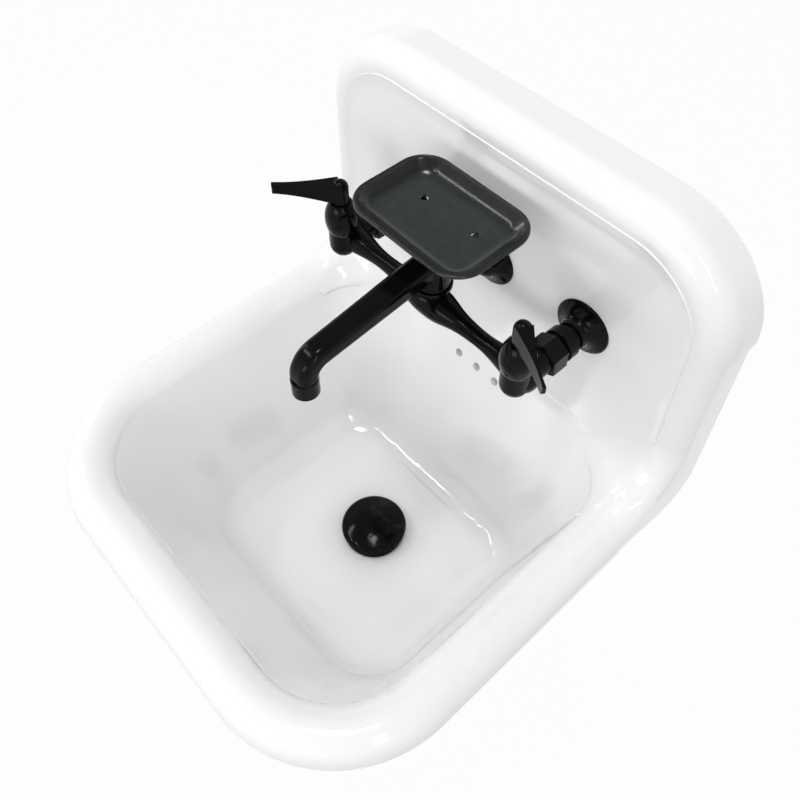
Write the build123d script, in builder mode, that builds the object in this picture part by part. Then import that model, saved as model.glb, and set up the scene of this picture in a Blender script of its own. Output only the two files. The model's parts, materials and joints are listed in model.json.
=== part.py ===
from build123d import *
from math import cos, radians, sin, sqrt, tan
import os

os.makedirs("parts", exist_ok=True)

# Wall-hung sink with a bridge tap. Millimetres, +Z up.
# X = 0 is the centre line, Y = 0 the wall and Z = 0 the top of the rim.

# Sizes of the casting
sink_width = 432.0
sink_projection = 420.0
back_height = 265.0
roll_radius = 22.0
roll_bore_radius = 15.0
roll_set_back = 24.0
front_corner_radius = 97.0
sweep_radius = 80.0
top_corner_radius = 70.0
wall_thickness = 7.0
floor_thickness = 8.0
panel_depth = 45.0
lip_half_width = 205.0
lip_front = -409.0
bowl_depth = 178.0
bowl_wall_top = -14.5
bowl_half_width = 173.3
bowl_front = -377.4
side_slope = 17.0
front_slope = 25.0
back_slope = 16.3
bend_radius = 80.0
bend_top = 6.0
back_corner_radius = 52.0
front_inner_radius = 75.0
floor_corner_radius = 52.0
floor_fillet = 34.0
corner_bands = 10
corner_top = 47.0
flank_at_wall = 213.5
flank_draft = 0.76
flank_top = 171.0
flank_bottom = -37.0
flank_foot_y = -42.0
flank_corner_radius = 30.0
cove_radius = 80.0
cove_steps = 8
cove_bite = 0.05

# Waste opening, overflow and the back of the casting
drain_y = -187.0
floor_dish_radius = 84.0
floor_dish_depth = 3.0
seat_radius = 31.0
seat_depth = 2.5
drain_hole_radius = 23.0
boss_radius = 40.0
boss_bottom = -202.0
chamber_radius = 30.0
chamber_top = -188.0
chamber_bottom = -197.0
overflow_z = -23.0
overflow_spacing = 24.0
overflow_radius = 4.25
duct_half_width = 36.0
duct_wall = 6.0
duct_depth = 16.0
duct_bottom = -202.0
rib_half_height = 4.0
hook_half_width = 75.0
hook_front = -9.7
hook_back = -3.3
hook_bottom = 235.0
lug_x = 170.0
lug_half_width = 20.0
lug_bottom = -75.0
lug_thickness = 8.0
lug_hole_z = -55.0
lug_hole_radius = 4.5

# Tap
tap_half_centres = 101.6
tap_z = 125.0
bar_y = -115.0
stem_y = -124.0
shank_hole_radius = 14.5
shank_boss_radius = 25.0
shank_boss_depth = 3.0

# Shared fits
running_gap = 0.06
end_gap = 0.3

roll_x = sink_width / 2 - roll_radius
roll_front = roll_radius - sink_projection
roll_top = back_height - roll_radius
sweep_y = -roll_set_back - sweep_radius
sweep_z = sweep_radius - roll_radius
mid = 1 - sqrt(0.5)


def upright_plane(x, y):
    """Plane through an upright axis: local x is the radius, local y the height."""
    return Plane((x, y, 0), x_dir=(1, 0, 0), z_dir=(0, -1, 0))


def level_plane(x, z):
    """Plane through a level axis that runs to the wall: local x is the radius, local y is Y."""
    return Plane((x, 0, z), x_dir=(1, 0, 0), z_dir=(0, 0, 1))


def upright_axis(x, y):
    """Axis of a turned part that stands upright."""
    return Axis((x, y, 0), (0, 0, 1))


def level_axis(x, z):
    """Axis of a turned part that points at the wall."""
    return Axis((x, 0, z), (0, 1, 0))


def back_face(z):
    """Y of the inner face of the back: sloping in the bowl, bent, then upright as the panel."""
    bend_bottom = bend_top - bend_radius * sin(radians(back_slope))
    if z >= bend_top:
        return -panel_depth
    if z >= bend_bottom:
        return sqrt(bend_radius**2 - (bend_top - z) ** 2) - bend_radius - panel_depth
    foot = -panel_depth - bend_radius * (1 - cos(radians(back_slope)))
    return foot - (bend_bottom - z) * tan(radians(back_slope))


def roll_line(z):
    """Y of the centre of the roll where it sweeps up from the rim to the back."""
    if z >= sweep_z:
        return -roll_set_back
    return sweep_y + sqrt(max(0.0, sweep_radius**2 - (sweep_z - z) ** 2))


def bowl_section(z, wall, drop):
    """One level section of the bowl, grown outwards by the wall thickness."""
    below = max(0.0, bowl_wall_top - z)
    half = bowl_half_width - below * tan(radians(side_slope)) + wall
    front = bowl_front + below * tan(radians(front_slope)) - wall
    room = back_face(z) - roll_line(z) + 6
    back_radius = max(1.0, min(back_corner_radius, room))
    front_radius = front_inner_radius
    if z <= drop:
        back_radius = floor_corner_radius
        front_radius = floor_corner_radius
    back = back_face(z) + wall
    with BuildSketch(Plane.XY.offset(z)) as section:
        with BuildLine():
            Polyline((-half, front), (half, front), (half, back), (-half, back), close=True)
        make_face()
        fillet(section.vertices().group_by(Axis.Y)[0], front_radius + wall)
        fillet(section.vertices().group_by(Axis.Y)[-1], back_radius + wall)
    return section.sketch


def bowl_sections(bottom, wall, top):
    """Sections from the floor up: straight walls to the rim, then narrow bands round the bend."""
    heights = [bottom, -roll_radius]
    for band in range(corner_bands + 1):
        heights.append(bowl_wall_top + (corner_top - bowl_wall_top) * band / corner_bands)
    heights.append(top)
    return [bowl_section(z, wall, bottom) for z in heights]


def rounded_front(half, front, back, radius):
    """Plan of a rectangle whose two front corners are round."""
    with BuildSketch() as plan:
        with BuildLine():
            Polyline((-half, front), (half, front), (half, back), (-half, back), close=True)
        make_face()
        fillet(plan.vertices().group_by(Axis.Y)[0], radius)
    return plan.sketch


# Centre line of the roll, right-hand half, from the front round to the top
corner_y = roll_front + front_corner_radius
corner_z = roll_top - top_corner_radius
with BuildLine() as roll_path:
    Line((0, roll_front, -roll_radius), (roll_x - front_corner_radius, roll_front, -roll_radius))
    ThreePointArc(
        (roll_x - front_corner_radius, roll_front, -roll_radius),
        (roll_x - front_corner_radius * mid, roll_front + front_corner_radius * mid, -roll_radius),
        (roll_x, corner_y, -roll_radius),
    )
    Line((roll_x, corner_y, -roll_radius), (roll_x, sweep_y, -roll_radius))
    ThreePointArc(
        (roll_x, sweep_y, -roll_radius),
        (roll_x, -roll_set_back - sweep_radius * mid, sweep_radius * mid - roll_radius),
        (roll_x, -roll_set_back, sweep_z),
    )
    Line((roll_x, -roll_set_back, sweep_z), (roll_x, -roll_set_back, corner_z))
    ThreePointArc(
        (roll_x, -roll_set_back, corner_z),
        (roll_x - top_corner_radius * mid, -roll_set_back, roll_top - top_corner_radius * mid),
        (roll_x - top_corner_radius, -roll_set_back, roll_top),
    )
    Line((roll_x - top_corner_radius, -roll_set_back, roll_top), (0, -roll_set_back, roll_top))

roll_start = Plane((0, roll_front, -roll_radius), x_dir=(0, 1, 0), z_dir=(1, 0, 0))


def half_roll(radius):
    """Right-hand half of the roll as a solid bar of the given radius."""
    with BuildPart() as bar:
        with BuildSketch(roll_start) as disc:
            Circle(radius)
        sweep(sections=disc.sketch, path=roll_path.wire())
    return bar.part


def back_outline(half, top, bottom, radius):
    """Upright slab with two round top corners, the outline of the back seen from the front."""
    with BuildPart() as slab:
        with BuildSketch(Plane.XZ.offset(-2)) as outline:
            with BuildLine():
                Polyline((-half, bottom), (half, bottom), (half, top), (-half, top), close=True)
            make_face()
            fillet(outline.vertices().group_by(Axis.Y)[-1], radius)
        extrude(amount=2 * sink_projection)
    return slab.part


def return_block(inset, back, bottom, round_corner):
    """Solid behind the roll, from its centre line to the wall, inside the outline of the back."""
    half = sink_width / 2 - inset
    top = back_height - inset
    with BuildPart() as block:
        with BuildSketch(Plane.YZ.offset(-sink_width)) as profile:
            with BuildLine():
                Line((-roll_set_back, back_height), (back, back_height))
                Line((back, back_height), (back, bottom))
                Line((back, bottom), (flank_foot_y, bottom))
                Line((flank_foot_y, bottom), (sweep_y, -roll_radius))
                ThreePointArc(
                    (sweep_y, -roll_radius),
                    (-roll_set_back - sweep_radius * mid, sweep_radius * mid - roll_radius),
                    (-roll_set_back, sweep_z),
                )
                Line((-roll_set_back, sweep_z), (-roll_set_back, back_height))
            make_face()
            if round_corner > 0:
                foot = profile.vertices().group_by(Axis.Y)[0].sort_by(Axis.X)[-1]
                fillet(foot, round_corner)
        extrude(amount=2 * sink_width)
        corner = top_corner_radius + roll_radius - inset
        add(back_outline(half, top, bottom - 1, corner), mode=Mode.INTERSECT)
    return block.part


def roll_depth(x, y, z):
    """Distance of a point from the centre line of the roll, on the right-hand side."""
    across = x - roll_x
    if z >= sweep_z:
        return sqrt(across**2 + (y + roll_set_back) ** 2)
    if y < sweep_y:
        return sqrt(across**2 + (z + roll_radius) ** 2)
    return sqrt(across**2 + (sqrt((y - sweep_y) ** 2 + (z - sweep_z) ** 2) - sweep_radius) ** 2)


def nearest_roll(x, y, z):
    """Distance and bearing from a point to the skin of the roll, in the level plane."""
    best = (sink_width, 0.0)
    for step in range(91):
        bearing = radians(step)
        reach = 0.0
        for halving in range(9):
            span = 8.0 / 2**halving
            while reach < 140:
                depth = roll_depth(x + (reach + span) * cos(bearing), y + (reach + span) * sin(bearing), z)
                if depth < roll_radius - cove_bite:
                    break
                reach += span
        if reach < best[0]:
            best = (reach, bearing)
    return best


def cove_section(z):
    """Level section of the cove: a ball rolled between the roll and the inner face of the back."""
    rise = (z + roll_radius) / (sweep_z + roll_radius)
    radius = floor_corner_radius + (cove_radius - floor_corner_radius) * rise
    wall = back_face(z) + cove_bite
    side = bowl_half_width - max(0.0, bowl_wall_top - z) * tan(radians(side_slope))
    centre = side - radius + cove_bite
    bearing = 0.0
    edge = side
    if z > bowl_wall_top:
        low = side - 2 * radius
        high = side
        for halving in range(22):
            centre = (low + high) / 2
            reach, bearing = nearest_roll(centre, wall - radius, z)
            if reach > radius:
                low = centre
            else:
                high = centre
        while roll_depth(edge, wall, z) > roll_radius and edge < roll_x:
            edge += 0.25
    half = (bearing + radians(90)) / 2
    touch = (centre + radius * cos(bearing), wall - radius + radius * sin(bearing))
    with BuildSketch(Plane.XY.offset(z)) as section:
        with BuildLine():
            ThreePointArc(
                (centre, wall),
                (centre + radius * cos(half), wall - radius + radius * sin(half)),
                touch,
            )
            Polyline(
                touch,
                (touch[0] + 2.5 * cos(bearing), touch[1] + 2.5 * sin(bearing)),
                (edge + 1.5, wall + 1.5),
                (centre, wall + 2),
                (centre, wall),
            )
        make_face()
    return section.sketch


# Right-hand half of the cove that blends the roll into the back, from the rim to the top
with BuildPart() as cove:
    cove_rise = (sweep_z + roll_radius) / cove_steps
    loft(sections=[cove_section(cove_rise * step - roll_radius) for step in range(cove_steps + 1)])
    with BuildLine() as cove_path:
        Line((roll_x, -roll_set_back, sweep_z), (roll_x, -roll_set_back, corner_z))
        ThreePointArc(
            (roll_x, -roll_set_back, corner_z),
            (roll_x - top_corner_radius * mid, -roll_set_back, roll_top - top_corner_radius * mid),
            (roll_x - top_corner_radius, -roll_set_back, roll_top),
        )
        Line((roll_x - top_corner_radius, -roll_set_back, roll_top), (0, -roll_set_back, roll_top))
    sweep(sections=cove_section(sweep_z), path=cove_path.wire())


# Space of the bowl, up to the foot of the panel
with BuildPart() as bowl_space:
    loft(sections=bowl_sections(-bowl_depth, 0.0, corner_top + 20), ruled=True)
    fillet(bowl_space.faces().sort_by(Axis.Z)[0].edges(), floor_fillet)

# Outer form of the bowl and of the panel, kept behind and below the roll
with BuildPart() as bowl_form:
    loft(sections=bowl_sections(-bowl_depth - floor_thickness, wall_thickness, roll_top), ruled=True)
    fillet(bowl_form.faces().sort_by(Axis.Z)[0].edges(), floor_fillet + 4)
    web_front = 4.0
    web_top = 14.0
    inner_radius = sweep_radius - web_front
    arc_end = sweep_y + sqrt(inner_radius**2 - (sweep_z - web_top) ** 2)
    with BuildSketch(Plane.YZ.offset(-sink_width)):
        with BuildLine():
            Line((-sink_projection, -300), (-sink_projection, web_front - roll_radius))
            Line((-sink_projection, web_front - roll_radius), (sweep_y, web_front - roll_radius))
            ThreePointArc(
                (sweep_y, web_front - roll_radius),
                (sweep_y + inner_radius * sin(radians(30)), sweep_z - inner_radius * cos(radians(30))),
                (arc_end, web_top),
            )
            Line((arc_end, web_top), (-panel_depth, web_top))
            Line((-panel_depth, web_top), (-panel_depth, roll_top))
            Line((-panel_depth, roll_top), (0, roll_top))
            Line((0, roll_top), (0, -300))
            Line((0, -300), (-sink_projection, -300))
        make_face()
    extrude(amount=2 * sink_width, mode=Mode.INTERSECT)
    add(back_outline(roll_x, roll_top, -300, top_corner_radius), mode=Mode.INTERSECT)

# Enamelled casting: rolled rim, bowl, back, overflow duct, bearing rib, hook and lugs
roll_bar = half_roll(roll_radius)
roll_bore = half_roll(roll_bore_radius)
back_block = return_block(0.0, 0.0, flank_bottom, flank_corner_radius)
back_hollow = return_block(wall_thickness, 1.0, -300.0, 0.0)
with BuildPart() as sink_casting:
    add(roll_bar)
    mirror(about=Plane.YZ)
    add(back_block)
    add(back_hollow, mode=Mode.SUBTRACT)
    add(roll_bore, mode=Mode.SUBTRACT)
    add(roll_bore.mirror(Plane.YZ), mode=Mode.SUBTRACT)
    inner_half = bowl_half_width + wall_thickness + 1
    inner_front = bowl_front - wall_thickness - 1
    with BuildSketch(Plane.XY.offset(-roll_radius)):
        add(rounded_front(lip_half_width, lip_front, sweep_y, front_corner_radius + 11))
        add(rounded_front(inner_half, inner_front, sweep_y + 10, front_inner_radius + 8), mode=Mode.SUBTRACT)
    extrude(amount=-2 * roll_radius, mode=Mode.SUBTRACT)
    add(bowl_form.part)
    # Flat flanks of the back, with a small bevelled step at their top
    for side in (1, -1):
        turn = radians(flank_draft)
        flank = Plane(
            (side * (flank_at_wall - 5 * tan(turn)), 5, 0),
            x_dir=(cos(turn), side * sin(turn), 0),
            z_dir=(side * sin(turn), -cos(turn), 0),
        )
        with BuildSketch(flank):
            with BuildLine():
                Polyline(
                    (0, -90),
                    (0, flank_top - 2.5),
                    (side * 3, flank_top),
                    (side * 30, flank_top),
                    (side * 30, -90),
                    close=True,
                )
            make_face()
        extrude(amount=230, mode=Mode.SUBTRACT)
    # Overflow duct down the back of the bowl and under its floor
    with BuildSketch(Plane.YZ.offset(-duct_half_width)):
        with BuildLine():
            Polyline(
                (back_face(-2) + 3, -2),
                (back_face(-2) + wall_thickness + duct_depth, -2),
                (back_face(-180) + wall_thickness + duct_depth, -180),
                (back_face(-180) + wall_thickness, duct_bottom),
                (drain_y, duct_bottom),
                (drain_y, -bowl_depth - 4),
                (back_face(-180) - 25, -bowl_depth - 4),
                (back_face(-160) + 3, -160),
                close=True,
            )
        make_face()
    extrude(amount=2 * duct_half_width)
    with BuildSketch(Plane.XY.offset(boss_bottom)):
        with Locations((0, drain_y)):
            Circle(boss_radius)
    extrude(amount=-boss_bottom - bowl_depth - 3)
    # Level rib that bears on the wall, with the two screw lugs below it
    with BuildSketch(Plane.XY.offset(-rib_half_height)):
        with BuildLine():
            rib_half = sink_width / 2 - wall_thickness + 2
            Polyline((-rib_half, -panel_depth - 2), (rib_half, -panel_depth - 2), (rib_half, 0), (-rib_half, 0), close=True)
        make_face()
    extrude(amount=2 * rib_half_height)
    for side in (1, -1):
        with BuildSketch(Plane.XZ) as lug:
            with Locations((side * lug_x, lug_bottom / 2)):
                Rectangle(2 * lug_half_width, -lug_bottom)
            fillet(lug.vertices().group_by(Axis.Y)[0], 12)
        extrude(amount=lug_thickness)
        with BuildSketch(Plane.YZ.offset(side * lug_x - 4)):
            with BuildLine():
                Polyline((-2, -2), (-34, -2), (-4, -40), close=True)
            make_face()
        extrude(amount=8)
    # Downward hook under the top, which hangs in the wall bracket
    with BuildSketch(Plane.XY.offset(hook_bottom)):
        with Locations((0, (hook_front + hook_back) / 2)):
            Rectangle(2 * hook_half_width, hook_back - hook_front)
    extrude(amount=back_height - wall_thickness - hook_bottom + 2)
    # Bosses behind the tap holes
    for x in (-tap_half_centres, 0, tap_half_centres):
        with BuildSketch(Plane.XZ.offset(panel_depth - 2)):
            with Locations((x, tap_z)):
                Circle(shank_boss_radius)
        extrude(amount=-(wall_thickness + shank_boss_depth - 2))
    add(bowl_space.part, mode=Mode.SUBTRACT)
    add(cove.part)
    add(cove.part.mirror(Plane.YZ))
    # Shallow fall of the floor, seat and hole of the waste
    with BuildSketch(upright_plane(0, drain_y)):
        with BuildLine():
            Polyline(
                (0, -bowl_depth + 1),
                (floor_dish_radius, -bowl_depth + 1),
                (floor_dish_radius, -bowl_depth),
                (seat_radius, -bowl_depth - floor_dish_depth),
                (seat_radius, -bowl_depth - floor_dish_depth - seat_depth),
                (drain_hole_radius, -bowl_depth - floor_dish_depth - seat_depth),
                (drain_hole_radius, chamber_top),
                (chamber_radius, chamber_top),
                (chamber_radius, chamber_bottom),
                (drain_hole_radius, chamber_bottom),
                (drain_hole_radius, boss_bottom - 5),
                (0, boss_bottom - 5),
                close=True,
            )
        make_face()
    revolve(axis=upright_axis(0, drain_y), mode=Mode.SUBTRACT)
    # Inside of the duct, joined to the chamber round the waste
    duct_inner = duct_half_width - duct_wall
    with BuildSketch(Plane.YZ.offset(-duct_inner)):
        with BuildLine():
            Polyline(
                (back_face(-10) + wall_thickness, -10),
                (back_face(-10) + wall_thickness + duct_depth - duct_wall, -10),
                (back_face(-180) + wall_thickness + duct_depth - duct_wall, -180),
                (back_face(-180) + wall_thickness - 4, chamber_bottom),
                (drain_y + 12, chamber_bottom),
                (drain_y + 12, chamber_top),
                (back_face(-180) - 6, chamber_top),
                (back_face(-176) + wall_thickness, -176),
                close=True,
            )
        make_face()
    extrude(amount=2 * duct_inner, mode=Mode.SUBTRACT)
    for x in (-overflow_spacing, 0, overflow_spacing):
        with BuildSketch(Plane.XZ.offset(32)):
            with Locations((x, overflow_z)):
                Circle(overflow_radius)
        extrude(amount=40, mode=Mode.SUBTRACT)
    for x in (-tap_half_centres, 0, tap_half_centres):
        with BuildSketch(Plane.XZ.offset(panel_depth + 5)):
            with Locations((x, tap_z)):
                Circle(shank_hole_radius)
        extrude(amount=-20, mode=Mode.SUBTRACT)
    for x in (-lug_x, lug_x):
        with BuildSketch(Plane.XZ.offset(-1)):
            with Locations((x, lug_hole_z)):
                Circle(lug_hole_radius)
        extrude(amount=lug_thickness + 3, mode=Mode.SUBTRACT)
sink_casting.part.label = "sink_casting"
export_step(sink_casting.part, "parts/sink_casting.step")

# Bracket screwed to the wall: plate, channel and lip that the hook of the casting drops into
hanger_half_width = 80.0
hanger_bottom = 190.0
hanger_thickness = 3.0
hanger_lip_front = -13.0
hanger_lip_top = 246.0
hanger_hole_x = 60.0
hanger_hole_low = 202.0
hanger_hole_high = 224.0
hanger_hole_radius = 3.25
with BuildPart() as wall_hanger:
    with BuildSketch(Plane.YZ.offset(-hanger_half_width)):
        with BuildLine():
            Polyline(
                (0, hanger_bottom),
                (0, hook_bottom),
                (hanger_lip_front + hanger_thickness, hook_bottom),
                (hanger_lip_front + hanger_thickness, hanger_lip_top),
                (hanger_lip_front, hanger_lip_top),
                (hanger_lip_front, hook_bottom - hanger_thickness),
                (-hanger_thickness, hook_bottom - hanger_thickness),
                (-hanger_thickness, hanger_bottom),
                close=True,
            )
        make_face()
    extrude(amount=2 * hanger_half_width)
    fillet(wall_hanger.edges().filter_by(Axis.Y).group_by(Axis.Z)[0], 8)
    for z in (hanger_hole_low, hanger_hole_high):
        with BuildSketch(Plane.XZ.offset(-1)):
            with Locations((-hanger_hole_x, z), (hanger_hole_x, z)):
                Circle(hanger_hole_radius)
        extrude(amount=hanger_thickness + 2, mode=Mode.SUBTRACT)
wall_hanger.part.label = "wall_hanger"
export_step(wall_hanger.part, "parts/wall_hanger.step")


def turned(plane, axis, points):
    """Body turned about an axis from a closed outline of radius and height pairs."""
    with BuildPart() as body:
        with BuildSketch(plane):
            with BuildLine():
                Polyline(*points, close=True)
            make_face()
        revolve(axis=axis)
    return body.part


def ring(plane, axis, inner, outer, start, end):
    """Plain ring or washer between two radii and two heights."""
    points = ((inner, start), (outer, start), (outer, end), (inner, end))
    return turned(plane, axis, points)


# Bridge body of the tap
ball_radius = 15.0
ball_y = -116.0
valve_neck_radius = 12.2
valve_foot_z = 122.7
valve_top = 139.0
valve_bore = 9.8
valve_bore_bottom = 120.0
seat_bore = 8.0
seat_bottom = 118.0
waterway_radius = 5.0
spigot_radius = 12.0
spigot_end = -92.0
arm_radius = 7.3
hub_radius = 14.5
hub_neck_radius = 12.0
collar_radius = 17.0
collar_bottom = 145.0
collar_top = 148.0
post_radius = 10.0
post_top = 184.3
post_thread_radius = 8.0
post_thread_top = 192.0
stud_radius = 3.0
stud_bottom = 183.0
groove_heights = (158.0, 175.0)
groove_half = 1.2
o_ring_wire = 1.0
with BuildPart() as tap_body:
    # Bridge: thin round bar that swells at the hub and at the valves
    with BuildSketch(Plane((0, bar_y, tap_z), x_dir=(1, 0, 0), z_dir=(0, 0, 1))):
        with BuildLine():
            Line((-tap_half_centres, 0), (-tap_half_centres, 13.0))
            Spline(
                (-tap_half_centres, 13.0),
                (-84, 10.4),
                (-66, arm_radius + 0.3),
                (-48, arm_radius + 0.2),
                (-28, 10.0),
                (-12, hub_radius - 0.7),
                (0, hub_radius),
                (12, hub_radius - 0.7),
                (28, 10.0),
                (48, arm_radius + 0.2),
                (66, arm_radius + 0.3),
                (84, 10.4),
                (tap_half_centres, 13.0),
            )
            Line((tap_half_centres, 13.0), (tap_half_centres, 0))
            Line((tap_half_centres, 0), (-tap_half_centres, 0))
        make_face()
    revolve(axis=Axis((0, bar_y, tap_z), (1, 0, 0)))
    # Hub: bulge, neck, collar and the post that the spout turns on
    with BuildSketch(upright_plane(0, bar_y)):
        with BuildLine():
            ThreePointArc((0, tap_z - hub_radius), (hub_radius * sqrt(0.5), tap_z - hub_radius * sqrt(0.5)), (hub_radius, tap_z))
            Spline(
                (hub_radius, tap_z),
                (hub_neck_radius + 0.3, tap_z + 8),
                (hub_neck_radius + 1.4, tap_z + 14),
                (collar_radius, collar_bottom),
            )
            Polyline(
                (collar_radius, collar_bottom),
                (collar_radius, collar_top),
                (post_radius, collar_top),
                (post_radius, post_top),
                (post_thread_radius, post_top),
                (post_thread_radius, post_thread_top),
                (0, post_thread_top),
                (0, tap_z - hub_radius),
            )
        make_face()
    revolve(axis=upright_axis(0, bar_y))
    # Valve bodies with their round feet, and the spigots towards the wall
    for x in (-tap_half_centres, tap_half_centres):
        with Locations((x, ball_y, tap_z)):
            Sphere(ball_radius)
        with BuildSketch(upright_plane(x, stem_y)):
            with BuildLine():
                ThreePointArc(
                    (0, valve_foot_z - valve_neck_radius),
                    (valve_neck_radius * sqrt(0.5), valve_foot_z - valve_neck_radius * sqrt(0.5)),
                    (valve_neck_radius, valve_foot_z),
                )
                Polyline(
                    (valve_neck_radius, valve_foot_z),
                    (valve_neck_radius, valve_top),
                    (0, valve_top),
                    (0, valve_foot_z - valve_neck_radius),
                )
            make_face()
        revolve(axis=upright_axis(x, stem_y))
        with BuildSketch(Plane.XZ.offset(-stem_y)):
            with Locations((x, tap_z)):
                Circle(spigot_radius)
        extrude(amount=stem_y - spigot_end)
    # Waterways: valve seats and bores, bridge, hub post and its side ports
    for x in (-tap_half_centres, tap_half_centres):
        with BuildSketch(upright_plane(x, stem_y)):
            with BuildLine():
                Polyline(
                    (0, tap_z - 8),
                    (waterway_radius, tap_z - 8),
                    (waterway_radius, seat_bottom),
                    (seat_bore, seat_bottom),
                    (seat_bore, valve_bore_bottom),
                    (valve_bore, valve_bore_bottom),
                    (valve_bore, valve_top),
                    (valve_neck_radius + 1.5, valve_top),
                    (valve_neck_radius + 1.5, valve_top + 2),
                    (0, valve_top + 2),
                    close=True,
                )
            make_face()
        revolve(axis=upright_axis(x, stem_y), mode=Mode.SUBTRACT)
        with BuildSketch(Plane.XZ.offset(-stem_y)):
            with Locations((x, tap_z)):
                Circle(6.5)
        extrude(amount=stem_y - spigot_end - 5, mode=Mode.SUBTRACT)
    with BuildSketch(Plane.YZ.offset(-tap_half_centres)):
        with Locations((bar_y, tap_z)):
            Circle(waterway_radius - 0.5)
    extrude(amount=2 * tap_half_centres, mode=Mode.SUBTRACT)
    with BuildSketch(Plane.XY.offset(tap_z)):
        with Locations((0, bar_y)):
            Circle(6)
    extrude(amount=170 - tap_z, mode=Mode.SUBTRACT)
    with BuildSketch(Plane.YZ.offset(-post_radius - 1)):
        with Locations((bar_y, 166.5)):
            SlotOverall(14, 6, rotation=90)
    extrude(amount=2 * post_radius + 2, mode=Mode.SUBTRACT)
    for z in groove_heights:
        with BuildSketch(upright_plane(0, bar_y)):
            with BuildLine():
                Polyline(
                    (post_radius - 2 * o_ring_wire, z - groove_half),
                    (post_radius + 1, z - groove_half),
                    (post_radius + 1, z + groove_half),
                    (post_radius - 2 * o_ring_wire, z + groove_half),
                    close=True,
                )
            make_face()
        revolve(axis=upright_axis(0, bar_y), mode=Mode.SUBTRACT)
    with BuildSketch(Plane.XY.offset(stud_bottom)):
        with Locations((0, bar_y)):
            Circle(stud_radius)
    extrude(amount=post_thread_top - stud_bottom + 1, mode=Mode.SUBTRACT)
tap_body.part.label = "tap_body"
export_step(tap_body.part, "parts/tap_body.step")

# Quarter-turn valves: seat, cartridge, bonnet, spindle, lever and its grub screw
bonnet_radius = 14.6
bonnet_foot_radius = 12.2
bonnet_belly = 152.0
bonnet_top_radius = 9.0
bonnet_top = 169.6
cartridge_flange_radius = 11.0
cartridge_flange_top = 141.5
cartridge_top_radius = 8.2
cartridge_top = 160.0
spindle_radius = 5.0
spindle_bottom = 128.0
spindle_square_radius = 4.0
spindle_top = 183.0
lever_bottom = 170.2
lever_radius = 7.2
lever_top = 192.2
blade_length = 55.5
blade_thickness = 3.4
blade_top = 190.4
blade_tip_bottom = 180.2
blade_root_bottom = 172.6
blade_corner = 5.5
blade_taper_end = 33.0
lever_angles = {"hot": -131.0, "cold": -33.0}
grub_radius = 2.0
grub_z = 176.0


def lever_blade(x, turn):
    """Blade of a lever: a teardrop in plan, cut to its level top and rising lower edge."""
    along = (cos(turn), sin(turn), 0)
    level = Plane((x, stem_y, blade_root_bottom - 1), x_dir=along, z_dir=(0, 0, 1))
    upright = Plane((x, stem_y, 0), x_dir=along, z_dir=(sin(turn), -cos(turn), 0))
    half = blade_thickness / 2
    root = (1.6, lever_radius - 0.2)
    with BuildPart() as blade:
        with BuildSketch(level):
            with BuildLine():
                Spline(root, (blade_taper_end / 2, 4.1), (blade_taper_end, half + 0.1), (blade_length + 1, half - 0.2))
                Line((blade_length + 1, half - 0.2), (blade_length + 1, 0.2 - half))
                Spline((blade_length + 1, 0.2 - half), (blade_taper_end, -half - 0.1), (blade_taper_end / 2, -4.1), (root[0], -root[1]))
                Line((root[0], -root[1]), root)
            make_face()
        extrude(amount=blade_top - blade_root_bottom + 2)
        with BuildSketch(upright) as side_view:
            with BuildLine():
                Polyline(
                    (0, blade_top),
                    (blade_length, blade_top),
                    (blade_length, blade_tip_bottom),
                    (lever_radius, blade_root_bottom),
                    (0, blade_root_bottom),
                    close=True,
                )
            make_face()
            fillet(side_view.vertices().sort_by(lambda v: v.Z + v.X * along[0] + v.Y * along[1])[-1], blade_corner)
        extrude(amount=lever_radius + 1, both=True, mode=Mode.INTERSECT)
    return blade.part


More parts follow.
